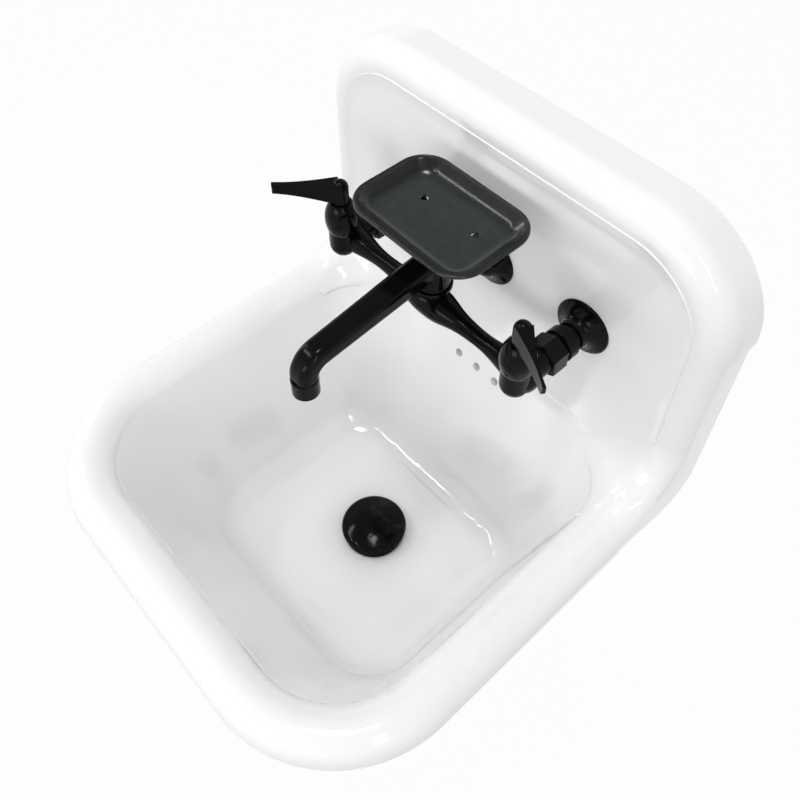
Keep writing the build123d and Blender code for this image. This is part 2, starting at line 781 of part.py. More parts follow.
for name, side in (("hot", -1), ("cold", 1)):
    x = side * tap_half_centres
    plane = upright_plane(x, stem_y)
    axis = upright_axis(x, stem_y)
    with BuildPart() as cartridge:
        add(turned(plane, axis, (
            (spindle_radius + running_gap, valve_bore_bottom + 6),
            (waterway_radius - 1, valve_bore_bottom + 6),
            (waterway_radius - 1, valve_bore_bottom),
            (valve_bore, valve_bore_bottom),
            (valve_bore, valve_top),
            (cartridge_flange_radius, valve_top),
            (cartridge_flange_radius, cartridge_flange_top),
            (cartridge_top_radius, cartridge_flange_top),
            (cartridge_top_radius, cartridge_top),
            (spindle_radius + running_gap, cartridge_top),
        )))
        for turn in (0, 180):
            with BuildSketch(Plane((x, stem_y, tap_z), z_dir=(cos(radians(turn)), sin(radians(turn)), 0))):
                Circle(3)
            extrude(amount=valve_bore + 1, mode=Mode.SUBTRACT)
    cartridge.part.label = name + "_cartridge"
    export_step(cartridge.part, "parts/" + name + "_cartridge.step")
    with BuildPart() as bonnet:
        with BuildSketch(plane):
            with BuildLine():
                Line((cartridge_flange_radius, valve_top), (bonnet_foot_radius, valve_top))
                Spline(
                    (bonnet_foot_radius, valve_top),
                    (bonnet_radius, bonnet_belly),
                    (bonnet_radius - 2.0, bonnet_top - 6.2),
                    (bonnet_top_radius, bonnet_top),
                )
                Polyline(
                    (bonnet_top_radius, bonnet_top),
                    (spindle_radius + 0.4, bonnet_top),
                    (spindle_radius + 0.4, cartridge_top + 1.5),
                    (cartridge_top_radius, cartridge_top),
                    (cartridge_top_radius, cartridge_flange_top),
                    (cartridge_flange_radius, cartridge_flange_top),
                    (cartridge_flange_radius, valve_top),
                )
            make_face()
        revolve(axis=axis)
    bonnet.part.label = name + "_bonnet"
    export_step(bonnet.part, "parts/" + name + "_bonnet.step")
    with BuildPart() as spindle:
        add(turned(plane, axis, (
            (0, spindle_bottom),
            (spindle_radius, spindle_bottom),
            (spindle_radius, lever_bottom + 1),
            (spindle_square_radius, lever_bottom + 1),
            (spindle_square_radius, spindle_top),
            (0, spindle_top),
        )))
    spindle.part.label = name + "_spindle"
    export_step(spindle.part, "parts/" + name + "_spindle.step")
    turn = radians(lever_angles[name])
    along = (cos(turn), sin(turn), 0)
    with BuildPart() as lever:
        with BuildSketch(plane):
            with BuildLine():
                Polyline((0, lever_bottom), (lever_radius - 0.6, lever_bottom), (lever_radius, lever_bottom + 0.8), (lever_radius, lever_top - lever_radius))
                ThreePointArc(
                    (lever_radius, lever_top - lever_radius),
                    (lever_radius * sqrt(0.5), lever_top - lever_radius * mid),
                    (0, lever_top),
                )
                Line((0, lever_top), (0, lever_bottom))
            make_face()
        revolve(axis=axis)
        add(lever_blade(x, turn))
        with BuildSketch(Plane.XY.offset(lever_bottom - 1)):
            with Locations((x, stem_y)):
                Circle(spindle_radius + 0.05)
        extrude(amount=2, mode=Mode.SUBTRACT)
        with BuildSketch(Plane.XY.offset(lever_bottom + 1)):
            with Locations((x, stem_y)):
                Circle(spindle_square_radius)
        extrude(amount=spindle_top - lever_bottom - 1, mode=Mode.SUBTRACT)
        with BuildSketch(Plane((x, stem_y, grub_z), z_dir=(-along[0], -along[1], 0))):
            Circle(grub_radius)
        extrude(amount=lever_radius + 2, mode=Mode.SUBTRACT)
    lever.part.label = name + "_lever"
    export_step(lever.part, "parts/" + name + "_lever.step")
    with BuildPart() as grub:
        start = spindle_square_radius
        with BuildSketch(Plane((x - along[0] * start, stem_y - along[1] * start, grub_z), z_dir=(-along[0], -along[1], 0))):
            Circle(grub_radius)
        extrude(amount=2.4)
        with BuildSketch(Plane((x - along[0] * (start + 1), stem_y - along[1] * (start + 1), grub_z), z_dir=(-along[0], -along[1], 0))):
            RegularPolygon(1.0, 6)
        extrude(amount=2, mode=Mode.SUBTRACT)
    grub.part.label = name + "_lever_screw"
    export_step(grub.part, "parts/" + name + "_lever_screw.step")

with BuildPart() as seat_seals:
    for x in (-tap_half_centres, tap_half_centres):
        add(ring(upright_plane(x, stem_y), upright_axis(x, stem_y), waterway_radius, seat_bore, seat_bottom, valve_bore_bottom))
seat_seals.part.label = "seat_seals"
export_step(seat_seals.part, "parts/seat_seals.step")

# Wall unions: coupling nut, washer, shank with its collar, bell flange, washer and locknut
shank_radius = 10.5
shank_bore = 6.5
shank_end = -9.0
supply_end_start = -18.6
supply_end_radius = 10.2
union_face = -90.0
shank_head_radius = 11.6
shank_head_end = -86.0
nut_width = 28.0
nut_front = -96.0
nut_back = -78.5
shank_collar_radius = 14.4
shank_collar_front = -76.0
shank_collar_back = -66.0
flange_radius = 25.4
flange_rim = 2.5
flange_neck_radius = 12.5
flange_neck_end = -60.0
bell_wall = 2.0
rim_front = -panel_depth - flange_rim
boss_face = wall_thickness + shank_boss_depth - panel_depth
shank_washer_depth = 1.5
locknut_depth = 8.0
locknut_width = 32.0
for name, side in (("hot", -1), ("cold", 1)):
    x = side * tap_half_centres
    plane = level_plane(x, tap_z)
    axis = level_axis(x, tap_z)
    with BuildPart() as coupling:
        with BuildSketch(Plane.XZ.offset(-nut_back)):
            with Locations((x, tap_z)):
                RegularPolygon(nut_width / 2, 6, major_radius=False, rotation=30)
        extrude(amount=nut_back - nut_front)
        chamfer(coupling.faces().filter_by(Axis.Y).edges(), 1.0)
        with BuildSketch(Plane.XZ.offset(-nut_back - 1)):
            with Locations((x, tap_z)):
                Circle(shank_radius + 0.15)
        extrude(amount=nut_back - nut_front + 3, mode=Mode.SUBTRACT)
        with BuildSketch(Plane.XZ.offset(-shank_head_end)):
            with Locations((x, tap_z)):
                Circle(spigot_radius)
        extrude(amount=shank_head_end - nut_front + 1, mode=Mode.SUBTRACT)
    coupling.part.label = name + "_coupling_nut"
    export_step(coupling.part, "parts/" + name + "_coupling_nut.step")
    with BuildPart() as shank:
        add(turned(plane, axis, (
            (shank_bore, union_face),
            (shank_head_radius, union_face),
            (shank_head_radius, shank_head_end),
            (shank_radius, shank_head_end),
            (shank_radius, shank_collar_front),
            (shank_collar_radius - 0.8, shank_collar_front),
            (shank_collar_radius, shank_collar_front + 0.8),
            (shank_collar_radius, shank_collar_back - 0.8),
            (shank_collar_radius - 0.8, shank_collar_back),
            (shank_radius, shank_collar_back),
            (shank_radius, supply_end_start),
            (supply_end_radius, supply_end_start),
            (supply_end_radius, shank_end),
            (shank_bore, shank_end),
        )))
    shank.part.label = name + "_inlet_shank"
    export_step(shank.part, "parts/" + name + "_inlet_shank.step")
    with BuildPart() as bell:
        with BuildSketch(plane):
            with BuildLine():
                Polyline((shank_radius + 0.1, flange_neck_end), (flange_neck_radius, flange_neck_end), (flange_neck_radius, flange_neck_end + 3))
                Spline(
                    (flange_neck_radius, flange_neck_end + 3),
                    (flange_neck_radius + 1.2, flange_neck_end + 6.4),
                    (flange_neck_radius + 5, flange_neck_end + 9.7),
                    (flange_radius - 1, rim_front),
                )
                Polyline(
                    (flange_radius - 1, rim_front),
                    (flange_radius, rim_front + 1),
                    (flange_radius, -panel_depth),
                    (flange_radius - bell_wall, -panel_depth),
                    (flange_radius - bell_wall, rim_front + bell_wall),
                )
                Spline(
                    (flange_radius - bell_wall, rim_front + bell_wall),
                    (flange_neck_radius + 3.5, flange_neck_end + 12),
                    (shank_radius + 1.4, flange_neck_end + 8.5),
                    (shank_radius + 0.1, flange_neck_end + 4),
                )
                Line((shank_radius + 0.1, flange_neck_end + 4), (shank_radius + 0.1, flange_neck_end))
            make_face()
        revolve(axis=axis)
    bell.part.label = name + "_wall_flange"
    export_step(bell.part, "parts/" + name + "_wall_flange.step")

with BuildPart() as union_washers:
    for x in (-tap_half_centres, tap_half_centres):
        add(ring(level_plane(x, tap_z), level_axis(x, tap_z), shank_bore, shank_head_radius, spigot_end, union_face))
union_washers.part.label = "union_washers"
export_step(union_washers.part, "parts/union_washers.step")

with BuildPart() as shank_washers:
    for x in (-tap_half_centres, tap_half_centres):
        add(ring(level_plane(x, tap_z), level_axis(x, tap_z), shank_radius, 19.0, boss_face, boss_face + shank_washer_depth))
shank_washers.part.label = "shank_washers"
export_step(shank_washers.part, "parts/shank_washers.step")

with BuildPart() as shank_locknuts:
    for x in (-tap_half_centres, tap_half_centres):
        with BuildSketch(Plane.XZ.offset(-boss_face - shank_washer_depth)):
            with Locations((x, tap_z)):
                RegularPolygon(locknut_width / 2, 6, major_radius=False, rotation=30)
                Circle(shank_radius, mode=Mode.SUBTRACT)
        extrude(amount=-locknut_depth)
shank_locknuts.part.label = "shank_locknuts"
export_step(shank_locknuts.part, "parts/shank_locknuts.step")

# Spout: ring that turns on the hub post, tapering arm, elbow and threaded nose
spout_ring_radius = 15.2
spout_ring_bottom = 150.0
spout_ring_top = 184.0
thrust_washer_top = spout_ring_bottom - end_gap
spout_root_y = -128.0
spout_root_z = 168.6
spout_fall = 7.5
spout_root_width = 23.0
spout_root_height = 20.0
spout_end_width = 21.0
spout_end_height = 18.5
spout_bend_radius = 17.0
spout_reach_y = -245.0
spout_bore = 6.2
nose_radius = 9.4
nose_bottom = 130.0
nose_top = 137.5
fall = radians(spout_fall)
arm_direction = (0, -cos(fall), -sin(fall))
arm_end_y = spout_reach_y + spout_bend_radius * (1 - sin(fall))
arm_end_z = spout_root_z - (spout_root_y - arm_end_y) * tan(fall)
bend_centre = (0, arm_end_y + spout_bend_radius * sin(fall), arm_end_z - spout_bend_radius * cos(fall))
arm_start = Plane((0, spout_root_y, spout_root_z), x_dir=(1, 0, 0), z_dir=arm_direction)
arm_end = Plane((0, arm_end_y, arm_end_z), x_dir=(1, 0, 0), z_dir=arm_direction)
with BuildPart() as spout:
    with BuildSketch(upright_plane(0, bar_y)):
        with BuildLine():
            Polyline(
                (0, spout_ring_bottom),
                (spout_ring_radius - 0.8, spout_ring_bottom),
                (spout_ring_radius, spout_ring_bottom + 0.8),
                (spout_ring_radius, spout_ring_top - 2),
                (spout_ring_radius - 2, spout_ring_top),
                (0, spout_ring_top),
                close=True,
            )
        make_face()
    revolve(axis=upright_axis(0, bar_y))
    with BuildSketch(arm_start.offset(-12)):
        RectangleRounded(spout_root_width, spout_root_height, 6.5)
    with BuildSketch(arm_end):
        RectangleRounded(spout_end_width, spout_end_height, 7.0)
    loft(ruled=True)
    with BuildSketch(arm_end):
        RectangleRounded(spout_end_width, spout_end_height, 7.0)
    revolve(axis=Axis(bend_centre, (1, 0, 0)), revolution_arc=90 - spout_fall)
    with BuildSketch(Plane((0, spout_reach_y, bend_centre[2]), x_dir=(1, 0, 0), z_dir=(0, 0, -1))):
        RectangleRounded(spout_end_width, spout_end_height, 7.0)
    with BuildSketch(Plane((0, spout_reach_y, nose_top), x_dir=(1, 0, 0), z_dir=(0, 0, -1))):
        RectangleRounded(spout_end_width, spout_end_height, 8.6)
    loft(ruled=True)
    with BuildSketch(Plane.XY.offset(nose_bottom)):
        with Locations((0, spout_reach_y)):
            Circle(nose_radius)
    extrude(amount=nose_top - nose_bottom + 1)
    # Waterway and the bore that runs on the hub post
    with BuildSketch(arm_start.offset(-12)):
        Circle(spout_bore)
    extrude(amount=(spout_root_y - arm_end_y) / cos(fall) + 12, mode=Mode.SUBTRACT)
    with BuildSketch(arm_end):
        Circle(spout_bore)
    revolve(axis=Axis(bend_centre, (1, 0, 0)), revolution_arc=90 - spout_fall, mode=Mode.SUBTRACT)
    with BuildSketch(Plane.XY.offset(nose_bottom - 1)):
        with Locations((0, spout_reach_y)):
            Circle(spout_bore)
    extrude(amount=bend_centre[2] - nose_bottom + 1, mode=Mode.SUBTRACT)
    with BuildSketch(Plane.XY.offset(spout_ring_bottom - 1)):
        with Locations((0, bar_y)):
            Circle(post_radius + running_gap)
    extrude(amount=spout_ring_top - spout_ring_bottom + 2, mode=Mode.SUBTRACT)
spout.part.label = "spout"
export_step(spout.part, "parts/spout.step")

hub_plane = upright_plane(0, bar_y)
hub_axis = upright_axis(0, bar_y)
with BuildPart() as spout_o_rings:
    for z in groove_heights:
        with BuildSketch(hub_plane):
            with Locations((post_radius - o_ring_wire, z)):
                Circle(o_ring_wire)
        revolve(axis=hub_axis)
spout_o_rings.part.label = "spout_o_rings"
export_step(spout_o_rings.part, "parts/spout_o_rings.step")

with BuildPart() as spout_thrust_washer:
    add(ring(hub_plane, hub_axis, post_radius, spout_ring_radius - 0.7, collar_top, thrust_washer_top))
spout_thrust_washer.part.label = "spout_thrust_washer"
export_step(spout_thrust_washer.part, "parts/spout_thrust_washer.step")

cap_nut_radius = 14.2
cap_nut_top = 193.0
with BuildPart() as spout_cap_nut:
    add(turned(hub_plane, hub_axis, (
        (post_thread_radius, post_top),
        (cap_nut_radius, post_top),
        (cap_nut_radius, cap_nut_top - 2.5),
        (cap_nut_radius - 2.5, cap_nut_top),
        (stud_radius, cap_nut_top),
        (stud_radius, post_thread_top),
        (post_thread_radius, post_thread_top),
    )))
spout_cap_nut.part.label = "spout_cap_nut"
export_step(spout_cap_nut.part, "parts/spout_cap_nut.step")

# Aerator screwed on the nose of the spout
aerator_radius = 11.0
aerator_bottom = 119.6
aerator_top = 136.6
aerator_lip_radius = 8.2
insert_top = 129.0
mouth_plane = upright_plane(0, spout_reach_y)
mouth_axis = upright_axis(0, spout_reach_y)
with BuildPart() as aerator_housing:
    add(turned(mouth_plane, mouth_axis, (
        (aerator_lip_radius, aerator_bottom),
        (aerator_radius - 1.0, aerator_bottom),
        (aerator_radius, aerator_bottom + 1.0),
        (aerator_radius, aerator_top - 0.8),
        (aerator_radius - 0.8, aerator_top),
        (nose_radius, aerator_top),
        (nose_radius, aerator_bottom + 1.4),
        (aerator_lip_radius, aerator_bottom + 1.4),
    )))
aerator_housing.part.label = "aerator_housing"
export_step(aerator_housing.part, "parts/aerator_housing.step")

with BuildPart() as aerator_insert:
    with BuildSketch(Plane.XY.offset(aerator_bottom + 1.4)):
        with Locations((0, spout_reach_y)):
            Circle(nose_radius)
    extrude(amount=insert_top - aerator_bottom - 1.4)
    with BuildSketch(Plane.XY.offset(aerator_bottom)):
        with Locations((0, spout_reach_y)):
            with PolarLocations(5.6, 10):
                Circle(1.1)
            with PolarLocations(2.6, 5):
                Circle(1.0)
    extrude(amount=insert_top - aerator_bottom + 1, mode=Mode.SUBTRACT)
aerator_insert.part.label = "aerator_insert"
export_step(aerator_insert.part, "parts/aerator_insert.step")

with BuildPart() as aerator_washer:
    add(ring(mouth_plane, mouth_axis, spout_bore, nose_radius, insert_top, nose_bottom))
aerator_washer.part.label = "aerator_washer"
export_step(aerator_washer.part, "parts/aerator_washer.step")

# Soap dish: pressed tray with a flat lip, two drain holes and a boss below
dish_width = 127.0
dish_depth = 91.0
dish_y = -109.0
dish_top = 218.0
dish_lip = 3.6
dish_sheet = 1.8
dish_floor_z = 208.0
dish_slope_run = 9.5
dish_corner = 26.0
dish_hole_x = 27.6
dish_hole_y = -99.0
dish_hole_radius = 3.4
dish_boss_radius = 8.0
dish_boss_bottom = 198.0


def tray(z, inset, radius):
    """One level outline of the tray, drawn in from its outer edge."""
    with BuildSketch(Plane.XY.offset(z)) as outline:
        with Locations((0, dish_y)):
            RectangleRounded(dish_width - 2 * inset, dish_depth - 2 * inset, radius)
    return outline.sketch


with BuildPart() as tray_space:
    slope_inset = dish_lip + dish_slope_run
    loft(sections=[
        tray(dish_floor_z, slope_inset, dish_corner - slope_inset),
        tray(dish_top - 1.2, dish_lip + 1.0, dish_corner - dish_lip - 1.0),
        tray(dish_top + 0.2, dish_lip, dish_corner - dish_lip),
    ], ruled=True)
    fillet(tray_space.faces().sort_by(Axis.Z)[0].edges(), 4.0)
with BuildPart() as soap_dish:
    low_inset = slope_inset - 0.8
    loft(sections=[
        tray(dish_floor_z - dish_sheet, low_inset, dish_corner - low_inset),
        tray(dish_top - dish_sheet, dish_lip - dish_sheet + 0.8, dish_corner - dish_lip + 1.0),
    ], ruled=True)
    fillet(soap_dish.faces().sort_by(Axis.Z)[0].edges(), 4.6)
    with BuildSketch(Plane.XY.offset(dish_top - dish_sheet)):
        with Locations((0, dish_y)):
            RectangleRounded(dish_width, dish_depth, dish_corner)
    extrude(amount=dish_sheet)
    fillet(soap_dish.faces().sort_by(Axis.Z)[-1].edges(), 0.8)
    add(tray_space.part, mode=Mode.SUBTRACT)
    with BuildSketch(Plane.XY.offset(dish_boss_bottom)):
        with Locations((0, bar_y)):
            Circle(dish_boss_radius)
    extrude(amount=dish_floor_z - dish_sheet - dish_boss_bottom + 0.5)
    with BuildSketch(Plane.XY.offset(dish_boss_bottom - 1)):
        with Locations((0, bar_y)):
            Circle(stud_radius)
    extrude(amount=6, mode=Mode.SUBTRACT)
    with BuildSketch(Plane.XY.offset(dish_floor_z - 5)):
        with Locations((-dish_hole_x, dish_hole_y), (dish_hole_x, dish_hole_y)):
            Circle(dish_hole_radius)
    extrude(amount=8, mode=Mode.SUBTRACT)
soap_dish.part.label = "soap_dish"
export_step(soap_dish.part, "parts/soap_dish.step")

with BuildPart() as dish_post:
    with BuildSketch(Plane.XY.offset(stud_bottom)):
        with Locations((0, bar_y)):
            Circle(stud_radius)
    extrude(amount=dish_boss_bottom + 5 - stud_bottom)
dish_post.part.label = "dish_post"
export_step(dish_post.part, "parts/dish_post.step")

with BuildPart() as dish_locknut:
    with BuildSketch(Plane.XY.offset(cap_nut_top)):
        with Locations((0, bar_y)):
            RegularPolygon(7.5, 6, major_radius=False)
            Circle(stud_radius, mode=Mode.SUBTRACT)
    extrude(amount=dish_boss_bottom - cap_nut_top)
dish_locknut.part.label = "dish_locknut"
export_step(dish_locknut.part, "parts/dish_locknut.step")

# Cover of the spare hole in the middle, the same bell closed at its end
cover_end = -61.5
cover_stud_radius = 4.0
cover_stud_end = -16.0
cover_washer_depth = 2.0
cover_nut_depth = 6.5
cover_plane = level_plane(0, tap_z)
cover_axis = level_axis(0, tap_z)
with BuildPart() as hole_cover:
    with BuildSketch(cover_plane):
        with BuildLine():
            ThreePointArc((0, cover_end), (flange_neck_radius * 0.72, cover_end + 1.8), (flange_neck_radius, cover_end + 5.5))
            Spline(
                (flange_neck_radius, cover_end + 5.5),
                (flange_neck_radius + 1.2, flange_neck_end + 6.4),
                (flange_neck_radius + 5, flange_neck_end + 9.7),
                (flange_radius - 1, rim_front),
            )
            Polyline(
                (flange_radius - 1, rim_front),
                (flange_radius, rim_front + 1),
                (flange_radius, -panel_depth),
                (flange_radius - bell_wall, -panel_depth),
                (flange_radius - bell_wall, rim_front + bell_wall),
            )
            Spline(
                (flange_radius - bell_wall, rim_front + bell_wall),
                (flange_neck_radius + 3.5, flange_neck_end + 12),
                (shank_radius + 1.4, flange_neck_end + 9),
                (shank_radius, flange_neck_end + 6),
            )
            Polyline(
                (shank_radius, flange_neck_end + 6),
                (cover_stud_radius, flange_neck_end + 6),
                (cover_stud_radius, cover_stud_end),
                (0, cover_stud_end),
                (0, cover_end),
            )
        make_face()
    revolve(axis=cover_axis)
hole_cover.part.label = "hole_cover"
export_step(hole_cover.part, "parts/hole_cover.step")

with BuildPart() as cover_washer:
    add(ring(cover_plane, cover_axis, cover_stud_radius, 19.0, boss_face, boss_face + cover_washer_depth))
cover_washer.part.label = "cover_washer"
export_step(cover_washer.part, "parts/cover_washer.step")

with BuildPart() as cover_nut:
    with BuildSketch(Plane.XZ.offset(-boss_face - cover_washer_depth)):
        with Locations((0, tap_z)):
            RegularPolygon(6.5, 6, major_radius=False)
            Circle(cover_stud_radius, mode=Mode.SUBTRACT)
    extrude(amount=-cover_nut_depth)
cover_nut.part.label = "cover_nut"
export_step(cover_nut.part, "parts/cover_nut.step")

# Waste: body, seals, nuts and tailpiece
seat_z = -bowl_depth - floor_dish_depth - seat_depth
waste_flange_radius = 29.5
waste_radius = 22.0
waste_bore = 18.0
waste_bottom = -245.0
waste_throat = 15.0
gasket_depth = 1.2
cone_depth = 5.0
slip_depth = 1.2
waste_nut_depth = 8.0
waste_nut_width = 60.0
tail_radius = 16.0
tail_bore = 14.6
tail_top = -229.0
tail_bottom = -330.0
tail_seal_depth = 2.0
web_top_z = -206.0
web_depth = 10.0
web_hub_radius = 9.0
cartridge_radius = 6.5
waste_plane = upright_plane(0, drain_y)
waste_axis = upright_axis(0, drain_y)
gasket_top = seat_z + gasket_depth
with BuildPart() as drain_body:
    add(turned(waste_plane, waste_axis, (
        (waste_bore, gasket_top + 1.6),
        (waste_bore + 4, gasket_top + 2.6),
        (waste_flange_radius - 1.2, gasket_top + 2.6),
        (waste_flange_radius, gasket_top + 1.4),
        (waste_flange_radius, gasket_top),
        (waste_radius, gasket_top),
        (waste_radius, waste_bottom),
        (tail_radius, waste_bottom),
        (tail_radius, tail_top + tail_seal_depth),
        (waste_throat, tail_top + tail_seal_depth),
        (waste_throat, -222),
        (waste_bore, -219),
    )))
    with BuildSketch(Plane.XY.offset(web_top_z - web_depth)):
        with Locations((0, drain_y)):
            Circle(web_hub_radius)
            with PolarLocations(0, 3, 90):
                with Locations((waste_bore / 2 + 0.5, 0)):
                    Rectangle(waste_bore + 1, 3)
            Circle(cartridge_radius, mode=Mode.SUBTRACT)
    extrude(amount=web_depth)
    for turn in (0, 90):
        with BuildSketch(Plane((0, drain_y, (chamber_top + chamber_bottom) / 2), x_dir=(-sin(radians(turn)), cos(radians(turn)), 0), z_dir=(cos(radians(turn)), sin(radians(turn)), 0))):
            Rectangle(14, 6)
        extrude(amount=waste_radius + 2, both=True, mode=Mode.SUBTRACT)
drain_body.part.label = "drain_body"
export_step(drain_body.part, "parts/drain_body.step")

waste_rings = (
    ("drain_gasket", waste_radius, waste_flange_radius, seat_z, gasket_top),
    ("drain_cone_washer", waste_radius, 33.0, boss_bottom - cone_depth, boss_bottom),
    ("drain_slip_washer", waste_radius, 31.0, boss_bottom - cone_depth - slip_depth, boss_bottom - cone_depth),
    ("tailpiece_seal", tail_bore, tail_radius, tail_top, tail_top + tail_seal_depth),
)
for name, inner, outer, start, end in waste_rings:
    with BuildPart() as waste_ring:
        add(ring(waste_plane, waste_axis, inner, outer, start, end))
    waste_ring.part.label = name
    export_step(waste_ring.part, "parts/" + name + ".step")

tail_collar_radius = 18.5
tail_collar_depth = 3.0
with BuildPart() as tailpiece:
    add(turned(waste_plane, waste_axis, (
        (tail_bore, tail_top),
        (tail_radius, tail_top),
        (tail_radius, waste_bottom),
        (tail_collar_radius, waste_bottom),
        (tail_collar_radius, waste_bottom - tail_collar_depth),
        (tail_radius, waste_bottom - tail_collar_depth),
        (tail_radius, tail_bottom),
        (tail_bore, tail_bottom),
    )))
tailpiece.part.label = "tailpiece"
export_step(tailpiece.part, "parts/tailpiece.step")

nut_top = boss_bottom - cone_depth - slip_depth
with BuildPart() as drain_locknut:
    with BuildSketch(Plane.XY.offset(nut_top - waste_nut_depth)):
        with Locations((0, drain_y)):
            RegularPolygon(waste_nut_width / 2, 6, major_radius=False)
    extrude(amount=waste_nut_depth)
    chamfer(drain_locknut.faces().sort_by(Axis.Z)[0].edges(), 1.2)
    with BuildSketch(Plane.XY.offset(nut_top - waste_nut_depth - 1)):
        with Locations((0, drain_y)):
            Circle(waste_radius)
    extrude(amount=waste_nut_depth + 2, mode=Mode.SUBTRACT)
drain_locknut.part.label = "drain_locknut"
export_step(drain_locknut.part, "parts/drain_locknut.step")

# Push stopper: mushroom cap, seal and stem that slide in the click cartridge
stopper_travel = 8.0
cap_radius = 33.0
cap_edge = -171.5
cap_edge_depth = 3.0
cap_height = 11.5
stem_radius = 3.0
stem_bottom = -216.0
seal_inner = 20.0
seal_outer = 26.0
seal_depth = 1.6
with BuildPart() as stopper_cap:
    with BuildSketch(waste_plane):
        with BuildLine():
            Line((0, cap_edge + cap_height), (2, cap_edge + cap_height))
            Spline(
                (2, cap_edge + cap_height),
                (16, cap_edge + cap_height - 1.7),
                (27, cap_edge + 6.4),
                (cap_radius, cap_edge + 1.2),
                tangents=((1, 0), (0.15, -1)),
            )
            Polyline(
                (cap_radius, cap_edge + 1.2),
                (cap_radius - 0.8, cap_edge),
                (cap_radius - 3, cap_edge),
                (cap_radius - 5, cap_edge + 2.0),
                (seal_inner, cap_edge + 2.0),
                (seal_inner, cap_edge),
                (stem_radius + 4, cap_edge),
                (stem_radius + 4, cap_edge + 4),
                (stem_radius, cap_edge + 4),
                (stem_radius, cap_edge + 7.5),
                (0, cap_edge + 7.5),
                (0, cap_edge + cap_height),
            )
        make_face()
    revolve(axis=waste_axis)
stopper_cap.part.label = "stopper_cap"
export_step(stopper_cap.part, "parts/stopper_cap.step")

with BuildPart() as stopper_seal:
    add(ring(waste_plane, waste_axis, seal_inner, seal_outer, cap_edge + 2.0 - seal_depth, cap_edge + 2.0))
stopper_seal.part.label = "stopper_seal"
export_step(stopper_seal.part, "parts/stopper_seal.step")

with BuildPart() as stopper_stem:
    add(turned(waste_plane, waste_axis, (
        (0, stem_bottom),
        (stem_radius, stem_bottom),
        (stem_radius, cap_edge + 7.5),
        (0, cap_edge + 7.5),
    )))
stopper_stem.part.label = "stopper_stem"
export_step(stopper_stem.part, "parts/stopper_stem.step")

with BuildPart() as click_cartridge:
    add(turned(waste_plane, waste_axis, (
        (0, stem_bottom - stopper_travel - 6),
        (cartridge_radius, stem_bottom - stopper_travel - 6),
        (cartridge_radius, web_top_z),
        (cartridge_radius + 2, web_top_z),
        (cartridge_radius + 2, web_top_z + 8),
        (stem_radius + running_gap, web_top_z + 8),
        (stem_radius + running_gap, stem_bottom - stopper_travel - 2),
        (0, stem_bottom - stopper_travel - 2),
    )))
click_cartridge.part.label = "click_cartridge"
export_step(click_cartridge.part, "parts/click_cartridge.step")
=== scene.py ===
"""Finishes, fine details, light and camera of a wall-mounted enamelled sink with its black taps and waste.

Everything is in metres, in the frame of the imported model: the wall is the plane y = 0, the object hangs in
front of it towards -y, and z = 0 is the top of the bowl's rolled rim.
"""

import json
import logging
import math
from dataclasses import dataclass, field
from enum import Enum

import bmesh
import bpy
from mathutils import Matrix, Vector


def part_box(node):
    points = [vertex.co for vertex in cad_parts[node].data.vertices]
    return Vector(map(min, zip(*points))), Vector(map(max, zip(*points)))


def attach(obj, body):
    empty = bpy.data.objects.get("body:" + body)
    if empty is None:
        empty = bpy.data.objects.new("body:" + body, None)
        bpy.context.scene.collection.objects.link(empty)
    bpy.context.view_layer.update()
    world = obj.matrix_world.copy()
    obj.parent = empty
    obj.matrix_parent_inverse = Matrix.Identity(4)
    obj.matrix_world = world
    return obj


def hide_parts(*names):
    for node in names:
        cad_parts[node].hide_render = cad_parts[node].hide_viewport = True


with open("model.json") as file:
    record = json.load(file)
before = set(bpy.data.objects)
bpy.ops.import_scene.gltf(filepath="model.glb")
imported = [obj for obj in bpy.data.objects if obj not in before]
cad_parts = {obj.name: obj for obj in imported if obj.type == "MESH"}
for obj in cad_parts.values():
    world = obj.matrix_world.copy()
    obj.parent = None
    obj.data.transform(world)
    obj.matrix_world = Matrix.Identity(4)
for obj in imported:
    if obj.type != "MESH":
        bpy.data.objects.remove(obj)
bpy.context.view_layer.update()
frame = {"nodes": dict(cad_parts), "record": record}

LOG = logging.getLogger("wall_sink")
MM = 0.001
IMAGE_SIDE = 800
WHITE = (1.0, 1.0, 1.0, 1.0)


class Axis(Enum):
    """The line that a turned piece was machined about."""

    X = 0
    Y = 1
    Z = 2

    @property
    def direction(self) -> Vector:
        """The unit vector along the axis."""
        return Vector([1.0 if i == self.value else 0.0 for i in range(3)])

    @property
    def across(self) -> tuple[Vector, Vector]:
        """Two unit vectors at right angles to the axis, in right-handed order."""
        order = [(self.value + 1) % 3, (self.value + 2) % 3]
        return tuple(Vector([1.0 if i == side else 0.0 for i in range(3)]) for side in order)


